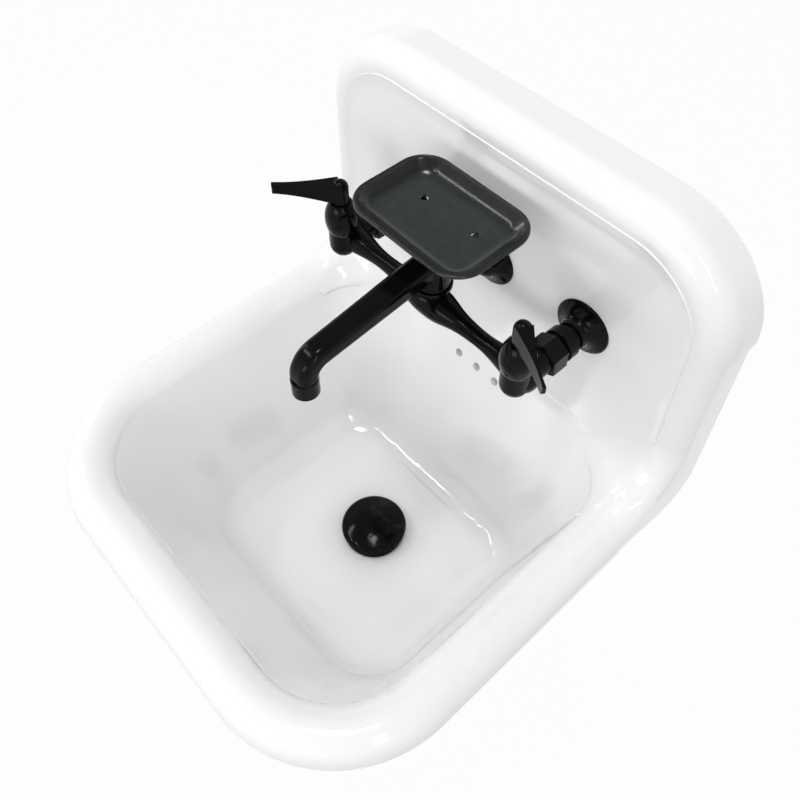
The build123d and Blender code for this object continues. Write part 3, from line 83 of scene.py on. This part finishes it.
class Value:
    """A shader socket that takes part in Python arithmetic: an expression on values adds its Math nodes."""

    def __init__(self, shader: "Shader", socket: bpy.types.NodeSocket) -> None:
        """Wraps a socket.

        Args:
            shader: The node tree that the socket belongs to.
            socket: The output socket that carries the value.
        """
        self.shader = shader
        self.socket = socket

    def __add__(self, other: "Value | float") -> "Value":
        """Adds on the right."""
        return self.shader.maths("ADD", self, other)

    def __radd__(self, other: float) -> "Value":
        """Adds on the left."""
        return self.shader.maths("ADD", other, self)

    def __sub__(self, other: "Value | float") -> "Value":
        """Takes away on the right."""
        return self.shader.maths("SUBTRACT", self, other)

    def __rsub__(self, other: float) -> "Value":
        """Takes this value away from a number."""
        return self.shader.maths("SUBTRACT", other, self)

    def __mul__(self, other: "Value | float") -> "Value":
        """Multiplies on the right."""
        return self.shader.maths("MULTIPLY", self, other)

    def __rmul__(self, other: float) -> "Value":
        """Multiplies on the left."""
        return self.shader.maths("MULTIPLY", other, self)

    def or_more(self, other: "Value | float") -> "Value":
        """The larger of two values."""
        return self.shader.maths("MAXIMUM", self, other)


class Shader:
    """A node tree that is written as Python calls, for a material or for the world."""

    def __init__(self, tree: bpy.types.NodeTree) -> None:
        """Empties the tree.

        Args:
            tree: The node tree to fill.
        """
        self.tree = tree
        tree.nodes.clear()

    def node(self, kind: str, settings: dict | None = None, inputs: dict | None = None,
             output: int | str = 0) -> Value:
        """Adds any one node.

        Args:
            kind: The node's type, such as "ShaderNodeTexNoise".
            settings: Properties, set before the inputs. A ramp's "stops" are (place, grey or colour) pairs.
            inputs: Numbers, colours, vectors or Values for the input sockets, by name or by number.
            output: The output socket that is wanted, by name or by number.

        Returns:
            The wanted output.
        """
        made = self.tree.nodes.new(kind)
        for name, setting in (settings or {}).items():
            if name == "stops":
                self._fill_ramp(made.color_ramp, setting)
            else:
                setattr(made, name, setting)
        for name, value in (inputs or {}).items():
            if isinstance(value, Value):
                self.tree.links.new(value.socket, made.inputs[name])
            else:
                made.inputs[name].default_value = value
        return Value(self, made.outputs[output]) if len(made.outputs) else Value(self, None)

    @staticmethod
    def _fill_ramp(ramp: bpy.types.ColorRamp, stops: list) -> None:
        """Sets a ramp's stops.

        Args:
            ramp: The ramp.
            stops: Pairs of a place from 0 to 1 and a grey level or a colour.
        """
        while len(ramp.elements) < len(stops):
            ramp.elements.new(0.5)
        for element, (place, tone) in zip(ramp.elements, stops):
            element.position = place
            element.color = (tone, tone, tone, 1.0) if isinstance(tone, (int, float)) else (*tone, 1.0)

    def maths(self, operation: str, *values: "Value | float") -> Value:
        """A Math node.

        Args:
            operation: The operation's name.
            values: One or two numbers or values.

        Returns:
            The result.
        """
        return self.node("ShaderNodeMath", {"operation": operation}, dict(enumerate(values)))

    def blend(self, factor: "Value | float", first: "Value | tuple", second: "Value | tuple") -> Value:
        """A colour between two colours.

        Args:
            factor: 0 gives the first colour and 1 the second.
            first: Three numbers or a colour value.
            second: Three numbers or a colour value.

        Returns:
            The mixed colour.
        """
        tones = [tone if isinstance(tone, Value) else (*tone, 1.0) for tone in (first, second)]
        return self.node("ShaderNodeMix", {"data_type": "RGBA"}, {0: factor, 6: tones[0], 7: tones[1]}, 2)

    def place(self, stretch: tuple = (1.0, 1.0, 1.0)) -> Value:
        """The point on the piece, in metres in the model's frame, scaled along each axis.

        Args:
            stretch: The factor along x, y and z.

        Returns:
            The point as a vector.
        """
        point = self.node("ShaderNodeTexCoord", output="Object")
        scaled = {0: point, 1: stretch}
        return self.node("ShaderNodeVectorMath", {"operation": "MULTIPLY"}, scaled)

    def noise(self, scale: float, detail: float = 2.0, stretch: tuple = (1.0, 1.0, 1.0),
              rough: float = 0.5) -> Value:
        """Soft random variation.

        Args:
            scale: Grains to a metre.
            detail: How many finer layers are added.
            stretch: The factor on the grain count along x, y and z.
            rough: How strong the finer layers are.

        Returns:
            A value about 0.5.
        """
        sizes = {"Vector": self.place(stretch), "Scale": scale, "Detail": detail, "Roughness": rough}
        return self.node("ShaderNodeTexNoise", None, sizes)

    def ramp(self, value: Value, *stops: tuple) -> Value:
        """A value passed through a ramp.

        Args:
            value: The value from 0 to 1.
            stops: Pairs of a place and a grey level.

        Returns:
            The level from the ramp.
        """
        return self.node("ShaderNodeValToRGB", {"stops": list(stops)}, {0: value})

    def bump(self, height: Value, depth: float, under: Value | None = None) -> Value:
        """A surface normal that follows a height.

        Args:
            height: The height from 0 to 1.
            depth: What a height of 1 stands for, in metres.
            under: A normal that this one is laid on.

        Returns:
            The normal.
        """
        inputs = {"Height": height, "Distance": depth, "Strength": 1.0}
        if under is not None:
            inputs["Normal"] = under
        return self.node("ShaderNodeBump", None, inputs)

    def surface(self, **sockets: "Value | float | tuple") -> None:
        """Ends the tree with a Principled shader.

        Args:
            sockets: Its inputs, with an underscore for each space in the name.
        """
        inputs = {name.replace("_", " "): value for name, value in sockets.items()}
        shader = self.node("ShaderNodeBsdfPrincipled", None, inputs)
        self.node("ShaderNodeOutputMaterial", None, {"Surface": shader})


@dataclass(frozen=True)
class Finish:
    """What every finish has: a name, a colour with its clouds, and the material that is made from it once."""

    name: str
    colour: tuple[float, float, float]
    dark: float = 0.86
    light: float = 1.10
    cloud_scale: float = 90.0

    def material(self) -> bpy.types.Material:
        """The finish as a material, made on the first call.

        Returns:
            The material.
        """
        known = bpy.data.materials.get(self.name)
        if known:
            return known
        made = bpy.data.materials.new(self.name)
        made.use_nodes = True
        self.paint(Shader(made.node_tree))
        return made

    def paint(self, shader: Shader) -> None:
        """Fills the material's tree; each finish has its own."""
        raise NotImplementedError

    def tint(self, factor: float) -> tuple[float, float, float]:
        """The colour made lighter or darker by a factor."""
        return tuple(min(1.0, channel * factor) for channel in self.colour)

    def clouded(self, shader: Shader) -> Value:
        """The colour with slow clouds that go from its dark tint to its light one."""
        return shader.blend(shader.noise(self.cloud_scale, 3.0), self.tint(self.dark), self.tint(self.light))


@dataclass(frozen=True)
class Enamel(Finish):
    """Glossy vitreous enamel fused on cast iron, with the slow waves and fine orange peel of its firing."""

    dark: float = 0.985
    light: float = 1.012
    cloud_scale: float = 7.0
    speck_colour: tuple[float, float, float] = (0.55, 0.54, 0.52)
    speck_share: float = 0.10
    speck_scale: float = 900.0
    speck_from: float = 0.80
    speck_full: float = 0.84
    wave_scale: float = 26.0
    wave_depth: float = 0.14 * MM
    peel_scale: float = 420.0
    peel_depth: float = 0.006 * MM
    gloss_scale: float = 60.0
    roughness: float = 0.05
    refraction: float = 1.52
    glaze: float = 0.35
    glaze_roughness: float = 0.03

    def paint(self, shader: Shader) -> None:
        """Builds the enamel: a white body under a hard clear gloss.

        Args:
            shader: The material's tree.
        """
        grains = shader.noise(self.speck_scale, 1.0)
        speck = shader.ramp(grains, (self.speck_from, 0.0), (self.speck_full, 1.0))
        colour = shader.blend(speck * self.speck_share, self.clouded(shader), self.speck_colour)
        waves = shader.bump(shader.noise(self.wave_scale, 1.5), self.wave_depth)
        peel = shader.bump(shader.noise(self.peel_scale, 2.0), self.peel_depth, waves)
        gloss = self.roughness + shader.noise(self.gloss_scale, 2.0) * self.roughness
        shader.surface(Base_Color=colour, Roughness=gloss, Normal=peel, IOR=self.refraction,
                       Coat_Weight=self.glaze, Coat_Roughness=self.glaze_roughness)


@dataclass(frozen=True)
class BlackCoat(Finish):
    """A glossy black coating on metal, with a very fine texture and patches of a slightly different gloss."""

    dark: float = 0.7
    light: float = 1.9
    cloud_scale: float = 55.0
    roughness: float = 0.11
    roughness_spread: float = 0.10
    patch_scale: float = 120.0
    grain_scale: float = 1500.0
    grain_depth: float = 0.004 * MM
    peel_scale: float = 260.0
    peel_depth: float = 0.006 * MM
    shine: float = 0.11

    def paint(self, shader: Shader) -> None:
        """Builds the coating.

        Args:
            shader: The material's tree.
        """
        grain = shader.bump(shader.noise(self.grain_scale, 2.0), self.grain_depth)
        peel = shader.bump(shader.noise(self.peel_scale, 1.0), self.peel_depth, grain)
        patches = shader.noise(self.patch_scale, 2.0) * self.roughness_spread
        rough = (self.roughness - self.roughness_spread / 2.0) + patches
        shader.surface(Base_Color=self.body_colour(shader), Roughness=rough, Normal=peel,
                       Specular_IOR_Level=self.shine)

    def body_colour(self, shader: Shader) -> Value:
        """The colour under the gloss: the black, a little lighter in clouds."""
        return self.clouded(shader)


@dataclass(frozen=True)
class DishCoat(BlackCoat):
    """The black coating of the soap dish. Its floor is painted a lighter grey as painted light where it faces
    up, and it has a few brown rust marks.
    """

    # Painted light: the floor's lighter grey stands in for the light on the upward-facing floor.
    painted_lit_floor_colour: tuple[float, float, float] = (0.020, 0.029, 0.023)
    rust_colour: tuple[float, float, float] = (0.045, 0.020, 0.013)
    floor_height: float = 208.2 * MM
    fade_height: float = 2.4 * MM
    lit_floor_edge_scale: float = 140.0
    lit_floor_ragged: float = 0.5
    streak_scale: float = 95.0
    rust_scale: float = 48.0

    def body_colour(self, shader: Shader) -> Value:
        """The colour under the gloss.

        Args:
            shader: The material's tree.

        Returns:
            The black of the walls, with a painted lighter grey on the floor that stands in for the light
            falling on it.
        """
        height = shader.node("ShaderNodeSeparateXYZ", None, {0: shader.place()}, "Z")
        above = (height - self.floor_height) * (1.0 / self.fade_height)
        ragged = above + shader.noise(self.lit_floor_edge_scale, 4.0) * self.lit_floor_ragged - self.lit_floor_ragged / 2.0
        # Painted light: below a ragged line just above the floor, the colour turns to the lighter floor grey,
        # broken up by random streaks.
        painted_lit_floor = shader.ramp(ragged, (0.0, 1.0), (1.0, 0.0))
        streaks = shader.ramp(shader.noise(self.streak_scale, 5.0, rough=0.7), (0.38, 0.72), (0.62, 1.0))
        marks = shader.ramp(shader.noise(self.rust_scale, 4.0, rough=0.6), (0.60, 0.0), (0.70, 0.7))
        lit_floor_with_rust = shader.blend(marks, self.painted_lit_floor_colour, self.rust_colour)
        return shader.blend(painted_lit_floor * streaks, self.colour, lit_floor_with_rust)


@dataclass(frozen=True)
class TurnedMetal(Finish):
    """Bare metal with the fine rings that a lathe leaves about an axis."""

    dark: float = 0.82
    light: float = 1.08
    cloud_scale: float = 40.0
    axis: Axis = Axis.Z
    roughness: float = 0.28
    roughness_spread: float = 0.14
    rings_to_a_metre: float = 2600.0
    ring_stretch: float = 0.02
    ring_depth: float = 0.010 * MM

    def paint(self, shader: Shader) -> None:
        """Builds the metal.

        Args:
            shader: The material's tree.
        """
        lines = [self.ring_stretch] * 3
        lines[self.axis.value] = 1.0
        rings = shader.noise(self.rings_to_a_metre, 1.0, tuple(lines))
        rough = (self.roughness - self.roughness_spread / 2.0) + rings * self.roughness_spread
        shader.surface(Base_Color=self.clouded(shader), Roughness=rough, Metallic=1.0,
                       Normal=shader.bump(rings, self.ring_depth))


@dataclass(frozen=True)
class Moulded(Finish):
    """Moulded rubber or nylon: a matt skin with a fine even grain."""

    roughness: float = 0.7
    roughness_spread: float = 0.12
    grain_scale: float = 2200.0
    grain_depth: float = 0.02 * MM

    def paint(self, shader: Shader) -> None:
        """Builds the moulding.

        Args:
            shader: The material's tree.
        """
        grain = shader.noise(self.grain_scale, 2.0)
        rough = (self.roughness - self.roughness_spread / 2.0) + grain * self.roughness_spread
        shader.surface(Base_Color=self.clouded(shader), Roughness=rough,
                       Normal=shader.bump(grain, self.grain_depth))


ENAMEL = Enamel("white_enamel", (0.86, 0.86, 0.855))
BLACK = BlackCoat("black_coating", (0.0022, 0.0022, 0.0026))
DISH_BLACK = DishCoat("dish_coating", (0.0030, 0.0036, 0.0034), roughness=0.20, shine=0.50)
RUBBER = Moulded("black_rubber", (0.022, 0.022, 0.022), roughness=0.78)
NYLON = Moulded("white_nylon", (0.72, 0.72, 0.69), roughness=0.5)
BLACK_NYLON = Moulded("black_nylon", (0.012, 0.012, 0.012), roughness=0.45)
BRASS_UPRIGHT = TurnedMetal("brass_turned_upright", (0.74, 0.55, 0.27), axis=Axis.Z)
BRASS_LEVEL = TurnedMetal("brass_turned_level", (0.74, 0.55, 0.27), axis=Axis.Y)
STEEL_LEVEL = TurnedMetal("zinc_plate_level", (0.62, 0.62, 0.60), axis=Axis.Y, roughness=0.36)

SLOT_FINISH = {
    "enamel": ENAMEL,
    "black_metal": BLACK,
    "dish_metal": DISH_BLACK,
    "rubber": RUBBER,
    "nylon": NYLON,
    "brass": BRASS_UPRIGHT,
    "zinc_steel": STEEL_LEVEL,
}
NODE_FINISH = {
    "shank_locknuts": BRASS_LEVEL,
    "cover_nut": BRASS_LEVEL,
    "spout_thrust_washer": BLACK_NYLON,
}


def as_object(name: str, corners: list, faces: list, finish: Finish, body: str) -> bpy.types.Object:
    """A smooth mesh piece that rides on a body.

    Args:
        name: The piece's name.
        corners: Its vertices, in metres.
        faces: Its faces, as lists of vertex numbers.
        finish: What it is made of.
        body: The CAD body that it moves with.

    Returns:
        The object.
    """
    mesh = bpy.data.meshes.new(name)
    mesh.from_pydata([tuple(corner) for corner in corners], [], faces)
    mesh.update()
    mesh.shade_smooth()
    mesh.materials.append(finish.material())
    piece = bpy.data.objects.new(name, mesh)
    bpy.context.scene.collection.objects.link(piece)
    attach(piece, body)
    LOG.info("piece %s on %s", name, body)
    return piece


@dataclass
class Thread:
    """The helical ridge of a screw thread on a plain cylinder. Its section is in shares of the pitch."""

    name: str
    centre: Vector
    axis: Axis
    radius: float
    start: float
    end: float
    pitch: float
    body: str
    slot: str
    finish: Finish
    steps_a_turn: int = 28
    run_out: float = 0.75
    height: float = 0.32
    foot: float = 0.40
    crest: float = 0.07
    sunk: float = 0.05

    def build(self) -> bpy.types.Object:
        """Makes the ridge, which fades into the cylinder over its first and last part of a turn.

        Returns:
            The object.
        """
        turns = (self.end - self.start) / self.pitch - 1.0
        steps = max(4, int(turns * self.steps_a_turn))
        side, up = self.axis.across
        depth = self.height * self.pitch
        corners, faces = [], []
        for step in range(steps + 1):
            turned = turns * step / steps
            angle = math.tau * turned
            fade = min(1.0, turned / self.run_out, (turns - turned) / self.run_out)
            outward = side * math.cos(angle) + up * math.sin(angle)
            along = self.start + self.pitch * (turned + 0.5)
            for shift, height in ((-self.foot, -self.sunk), (-self.crest, fade), (self.crest, fade),
                                  (self.foot, -self.sunk)):
                reach = self.radius + depth * height
                corners.append(self.centre + outward * reach
                               + self.axis.direction * (along + shift * self.pitch))
        for step in range(steps):
            here, there = 4 * step, 4 * step + 4
            faces += [[here + k, here + k + 1, there + k + 1, there + k] for k in range(3)]
            faces.append([here + 3, here, there, there + 3])
        faces += [[3, 2, 1, 0], [4 * steps + k for k in range(4)]]
        return as_object(self.name, corners, faces, self.finish, self.body)


@dataclass
class Threads:
    """The screw threads that stay in sight: on the supply shanks, the cover stud and the waste body."""

    supply_spacing: float = 203.2 * MM
    tap_height: float = 125.0 * MM
    drain_distance: float = 187.0 * MM
    shank_radius: float = 10.2 * MM
    shank_length: float = 9.4 * MM
    stud_radius: float = 4.0 * MM
    waste_radius: float = 22.0 * MM
    pipe_pitch: float = 1.81 * MM
    stud_pitch: float = 1.25 * MM
    waste_pitch: float = 2.31 * MM
    end_gap: float = 0.2 * MM
    nut_gap: float = 0.3 * MM
    waste_gap: float = 0.5 * MM

    def build(self) -> None:
        """Makes each thread on the plain cylinder of its node."""
        for side, name in ((-1, "hot"), (1, "cold")):
            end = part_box(f"{name}_inlet_shank")[1][1]
            centre = Vector((side * self.supply_spacing / 2.0, 0.0, self.tap_height))
            self._cut(f"{name}_shank_thread", centre, Axis.Y, self.shank_radius, self.pipe_pitch,
                      end - self.shank_length, end - self.end_gap)
        self._cut("cover_stud_thread", Vector((0.0, 0.0, self.tap_height)), Axis.Y, self.stud_radius,
                  self.stud_pitch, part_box("cover_nut")[1][1] + self.nut_gap,
                  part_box("hole_cover")[1][1] - self.end_gap)
        self._cut("waste_thread", Vector((0.0, -self.drain_distance, 0.0)), Axis.Z, self.waste_radius,
                  self.waste_pitch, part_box("drain_body")[0][2] + self.waste_gap,
                  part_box("drain_locknut")[0][2] - self.nut_gap)

    @staticmethod
    def _cut(name: str, centre: Vector, axis: Axis, radius: float, pitch: float, start: float,
             end: float) -> None:
        """Makes one thread of the black parts.

        Args:
            name: The piece's name.
            centre: A point on the axis, 0 along it.
            axis: The thread's axis.
            radius: The radius of the plain cylinder.
            pitch: How far the thread goes in a turn.
            start: Where it starts along the axis.
            end: Where it ends.
        """
        Thread(name, centre, axis, radius, start, end, pitch, "sink", "black_metal", BLACK).build()


@dataclass
class Fittings:
    """The CAD nodes, which keep their shapes and get their finishes."""

    by_slot: dict[str, Finish] = field(default_factory=lambda: SLOT_FINISH)
    by_node: dict[str, Finish] = field(default_factory=lambda: NODE_FINISH)

    def dress(self) -> None:
        """Gives every node the finish of its slot, or its own."""
        for row in frame["record"]["subparts"]:
            name = row["node"]
            finish = self.by_node.get(name, self.by_slot[row["material_slot"]])
            mesh = frame["nodes"][name].data
            mesh.materials.clear()
            mesh.materials.append(finish.material())
            LOG.info("node %s: %s", name, finish.name)


@dataclass
class EnamelSkin:
    """The casting again, with the small steps between its faces melted together as enamel does in firing."""

    node: str = "sink_casting"
    body: str = "sink"
    merge: float = 0.02 * MM
    sharp_from: float = 60.0
    weight: int = 60

    def build(self) -> bpy.types.Object:
        """Copies the casting where it stands, joins its faces and lets the large ones set the shading.

        Returns:
            The skin, which stands for the casting.
        """
        source = frame["nodes"][self.node]
        work = bmesh.new()
        work.from_mesh(source.data)
        bmesh.ops.remove_doubles(work, verts=work.verts, dist=self.merge)
        bmesh.ops.dissolve_degenerate(work, edges=work.edges, dist=self.merge)
        mesh = bpy.data.meshes.new("enamel_skin")
        work.to_mesh(mesh)
        work.free()
        for layer in [known for known in mesh.attributes if known.name == "custom_normal"]:
            mesh.attributes.remove(layer)
        mesh.transform(source.matrix_world)
        mesh.shade_smooth()
        mesh.set_sharp_from_angle(angle=math.radians(self.sharp_from))
        mesh.materials.clear()
        mesh.materials.append(ENAMEL.material())
        skin = bpy.data.objects.new("enamel_skin", mesh)
        bpy.context.scene.collection.objects.link(skin)
        weigh = skin.modifiers.new("large_faces_first", "WEIGHTED_NORMAL")
        weigh.keep_sharp = True
        weigh.weight = self.weight
        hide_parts(self.node)
        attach(skin, self.body)
        LOG.info("piece enamel_skin stands for %s: %d faces", self.node, len(mesh.polygons))
        return skin


@dataclass
class DishForm:
    """The soft forms of the pressed soap dish: a bead round its lip and a cove between walls and floor."""

    width: float = 127.0 * MM
    depth: float = 91.0 * MM
    middle_y: float = -109.0 * MM
    top: float = 218.0 * MM
    floor: float = 208.0 * MM
    corner: float = 26.0 * MM
    lip: float = 3.6 * MM
    slope_run: float = 9.5 * MM
    bead_inset: float = 1.25 * MM
    bead_radius: float = 1.15 * MM
    bead_sunk: float = 0.55
    cove_radius: float = 16.0 * MM
    cove_start: float = 1.2 * MM
    cove_sheet: float = 0.4 * MM
    lift: float = 0.05 * MM
    sharp_from: float = 50.0
    steps_a_corner: int = 18
    steps: int = 14

    def build(self) -> None:
        """Makes the bead and the cove."""
        self._sweep("dish_bead", self._bead_section())
        self._sweep("dish_cove", self._cove_section())

    def _bead_section(self) -> list[tuple[float, float]]:
        """The bead's round section.

        Returns:
            Pairs of a distance in from the outline and a height.
        """
        radius = self.bead_radius
        centre = self.top - self.bead_sunk * radius
        turns = [math.tau * step / self.steps for step in range(self.steps)]
        return [(self.bead_inset - radius * math.cos(turn), centre + radius * math.sin(turn))
                for turn in turns]

    def _cove_section(self) -> list[tuple[float, float]]:
        """The cove's thin section: down the wall, round on to the floor, and back underneath.

        Returns:
            Pairs of a distance in from the outline and a height.
        """
        slope = math.atan2(self.top - self.floor, self.slope_run)
        on_floor = self.lip + self.slope_run + self.cove_radius * math.tan(slope / 2.0)
        centre = self.floor + self.cove_radius
        above = [(self.lip + self.cove_start * math.cos(slope), self.top - self.cove_start * math.sin(slope))]
        for step in range(self.steps + 1):
            turn = slope * (1.0 - step / self.steps)
            inset = on_floor - self.cove_radius * math.sin(turn)
            above.append((inset, centre - self.cove_radius * math.cos(turn)))
        below = [(inset, height - self.cove_sheet) for inset, height in reversed(above)]
        return [(inset, height + self.lift) for inset, height in above] + below

    def _sweep(self, name: str, section: list[tuple[float, float]]) -> bpy.types.Object:
        """Carries a closed section round the dish's outline.

        Args:
            name: The piece's name.
            section: Pairs of a distance in from the outline and a height.

        Returns:
            The piece.
        """
        half_x, half_y = self.width / 2.0 - self.corner, self.depth / 2.0 - self.corner
        corners = []
        for number, (side_x, side_y) in enumerate(((1, 1), (-1, 1), (-1, -1), (1, -1))):
            for step in range(self.steps_a_corner + 1):
                angle = math.pi / 2.0 * (number + step / self.steps_a_corner)
                for inset, height in section:
                    reach = self.corner - inset
                    x = side_x * half_x + reach * math.cos(angle)
                    y = side_y * half_y + reach * math.sin(angle)
                    corners.append(Vector((x, self.middle_y + y, height)))
        round_section, rings = len(section), 4 * (self.steps_a_corner + 1)
        faces = []
        for ring in range(rings):
            here, after = ring * round_section, (ring + 1) % rings * round_section
            for spoke in range(round_section):
                beside = (spoke + 1) % round_section
                faces.append([here + beside, after + beside, after + spoke, here + spoke])
        piece = as_object(name, corners, faces, DISH_BLACK, "sink")
        form = bmesh.new()
        form.from_mesh(piece.data)
        bmesh.ops.recalc_face_normals(form, faces=form.faces)
        form.to_mesh(piece.data)
        form.free()
        piece.data.set_sharp_from_angle(angle=math.radians(self.sharp_from))
        return piece


@dataclass(frozen=True)
class SoftBox:
    """A rectangular studio lamp that faces the bowl, with its sides in metres and its power in watts."""

    name: str
    place: tuple[float, float, float]
    width: float
    height: float
    power: float
    target: tuple[float, float, float] = (0.0, -0.2, 0.0)

    def build(self) -> bpy.types.Object:
        """Makes the lamp.

        Returns:
            The lamp's object.
        """
        data = bpy.data.lights.new(self.name, "AREA")
        data.shape = "RECTANGLE"
        data.size = self.width
        data.size_y = self.height
        data.energy = self.power
        lamp = bpy.data.objects.new(self.name, data)
        turn = (Vector(self.target) - Vector(self.place)).to_track_quat("-Z", "Y").to_matrix().to_4x4()
        lamp.matrix_world = Matrix.Translation(Vector(self.place)) @ turn
        bpy.context.scene.collection.objects.link(lamp)
        return lamp


@dataclass
class Studio:
    """A plain pale floor, a pale room and soft lamps."""

    floor_level: float = -0.86
    floor_side: float = 60.0
    floor_grey: float = 0.5
    floor_glow: float = 0.97
    horizon: float = 1.0
    horizon_end: float = 0.25
    ceiling: float = 0.46
    ceiling_start: float = 0.60
    lamps: tuple[SoftBox, ...] = (
        SoftBox("key", (-1.30, -1.20, 1.85), 1.3, 0.10, 7.5),
        SoftBox("spark", (-0.55, -1.50, 2.20), 0.34, 0.07, 3.0),
        SoftBox("left", (-1.9, -0.5, 0.75), 0.20, 1.1, 4.0),
        SoftBox("right", (1.7, -0.9, 1.3), 0.20, 1.1, 5.5),
        SoftBox("over", (0.1, -0.6, 4.0), 1.0, 0.7, 44.0),
        SoftBox("front", (0.3, -2.3, 0.7), 1.2, 0.7, 9.5),
    )

    def build(self) -> None:
        """Makes the floor, the world and the lamps."""
        self._floor()
        self._world()
        for lamp in self.lamps:
            lamp.build()

    def _floor(self) -> None:
        """Makes the floor: grey paint that looks nearly white and keeps a little of its shading."""
        half = self.floor_side / 2.0
        signs = ((-1, -1), (1, -1), (1, 1), (-1, 1))
        mesh = bpy.data.meshes.new("studio_floor")
        mesh.from_pydata([(x * half, y * half, self.floor_level) for x, y in signs], [], [[0, 1, 2, 3]])
        material = bpy.data.materials.new("floor_paint")
        material.use_nodes = True
        shader = Shader(material.node_tree)
        paint = shader.node("ShaderNodeBsdfDiffuse", None, {"Color": (*[self.floor_grey] * 3, 1.0)})
        glow = shader.node("ShaderNodeEmission", None, {"Color": WHITE, "Strength": 1.0})
        share = self._seen(shader) * self.floor_glow
        both = shader.node("ShaderNodeMixShader", None, {0: share, 1: paint, 2: glow})
        shader.node("ShaderNodeOutputMaterial", None, {"Surface": both})
        mesh.materials.append(material)
        floor = bpy.data.objects.new("studio_floor", mesh)
        bpy.context.scene.collection.objects.link(floor)

    @staticmethod
    def _seen(shader: Shader) -> Value:
        """Tells the rays that should find a plain white surround.

        Args:
            shader: The floor's tree.

        Returns:
            1 for rays from the camera and for rays that a glossy or clear surface sends on.
        """
        camera, glossy, through = (shader.node("ShaderNodeLightPath", output=f"Is {kind} Ray")
                                   for kind in ("Camera", "Glossy", "Transmission"))
        return camera.or_more(glossy).or_more(through)

    def _world(self) -> None:
        """Makes the surround: a pale room that is white at the horizon and dimmer overhead."""
        world = bpy.data.worlds.new("surround")
        world.use_nodes = True
        bpy.context.scene.world = world
        shader = Shader(world.node_tree)
        heading = shader.node("ShaderNodeTexCoord", output="Generated")
        height = shader.node("ShaderNodeSeparateXYZ", None, {0: heading}, "Z")
        strength = shader.ramp(height, (0.0, self.horizon), (self.horizon_end, self.horizon),
                               (self.ceiling_start, self.ceiling))
        light = shader.node("ShaderNodeBackground", None, {"Color": WHITE, "Strength": strength})
        shader.node("ShaderNodeOutputWorld", None, {"Surface": light})


@dataclass
class PhotoCamera:
    """The photograph's viewpoint, worked out from the edges that the rim, the tap and the drain give."""

    place: Vector = field(default_factory=lambda: Vector((0.3433, -0.4565, 0.6697)))
    azimuth: float = 47.7
    depression: float = 49.0
    roll: float = -0.1
    focal_pixels: float = 892.3
    centre_x: float = 405.1
    centre_y: float = 308.8
    sensor_width: float = 36.0
    far_end: float = 100.0

    def build(self) -> bpy.types.Object:
        """Makes the camera.

        Returns:
            The camera's object.
        """
        turn, fall = math.radians(self.azimuth), math.radians(self.depression)
        forward = Vector((-math.sin(turn) * math.cos(fall), math.cos(turn) * math.cos(fall), -math.sin(fall)))
        right = Vector((math.cos(turn), math.sin(turn), 0.0))
        up = right.cross(forward)
        tilt = math.radians(self.roll)
        right, up = (right * math.cos(tilt) - up * math.sin(tilt),
                     up * math.cos(tilt) + right * math.sin(tilt))
        data = bpy.data.cameras.new("camera")
        data.sensor_width = self.sensor_width
        data.lens = self.focal_pixels / IMAGE_SIDE * data.sensor_width
        data.shift_x = (IMAGE_SIDE / 2.0 - self.centre_x) / IMAGE_SIDE
        data.shift_y = (self.centre_y - IMAGE_SIDE / 2.0) / IMAGE_SIDE
        data.clip_end = self.far_end
        camera = bpy.data.objects.new("camera", data)
        facing = Matrix((right, up, -forward)).transposed().to_4x4()
        camera.matrix_world = Matrix.Translation(self.place) @ facing
        bpy.context.scene.collection.objects.link(camera)
        bpy.context.scene.camera = camera
        return camera


def main() -> None:
    """Builds the classes in order."""
    logging.basicConfig(level=logging.INFO, format="%(name)s: %(message)s")
    bpy.context.scene.view_settings.view_transform = "Standard"
    PhotoCamera().build()
    Fittings().dress()
    Threads().build()
    EnamelSkin().build()
    DishForm().build()
    Studio().build()


if __name__ == "__main__":
    main()
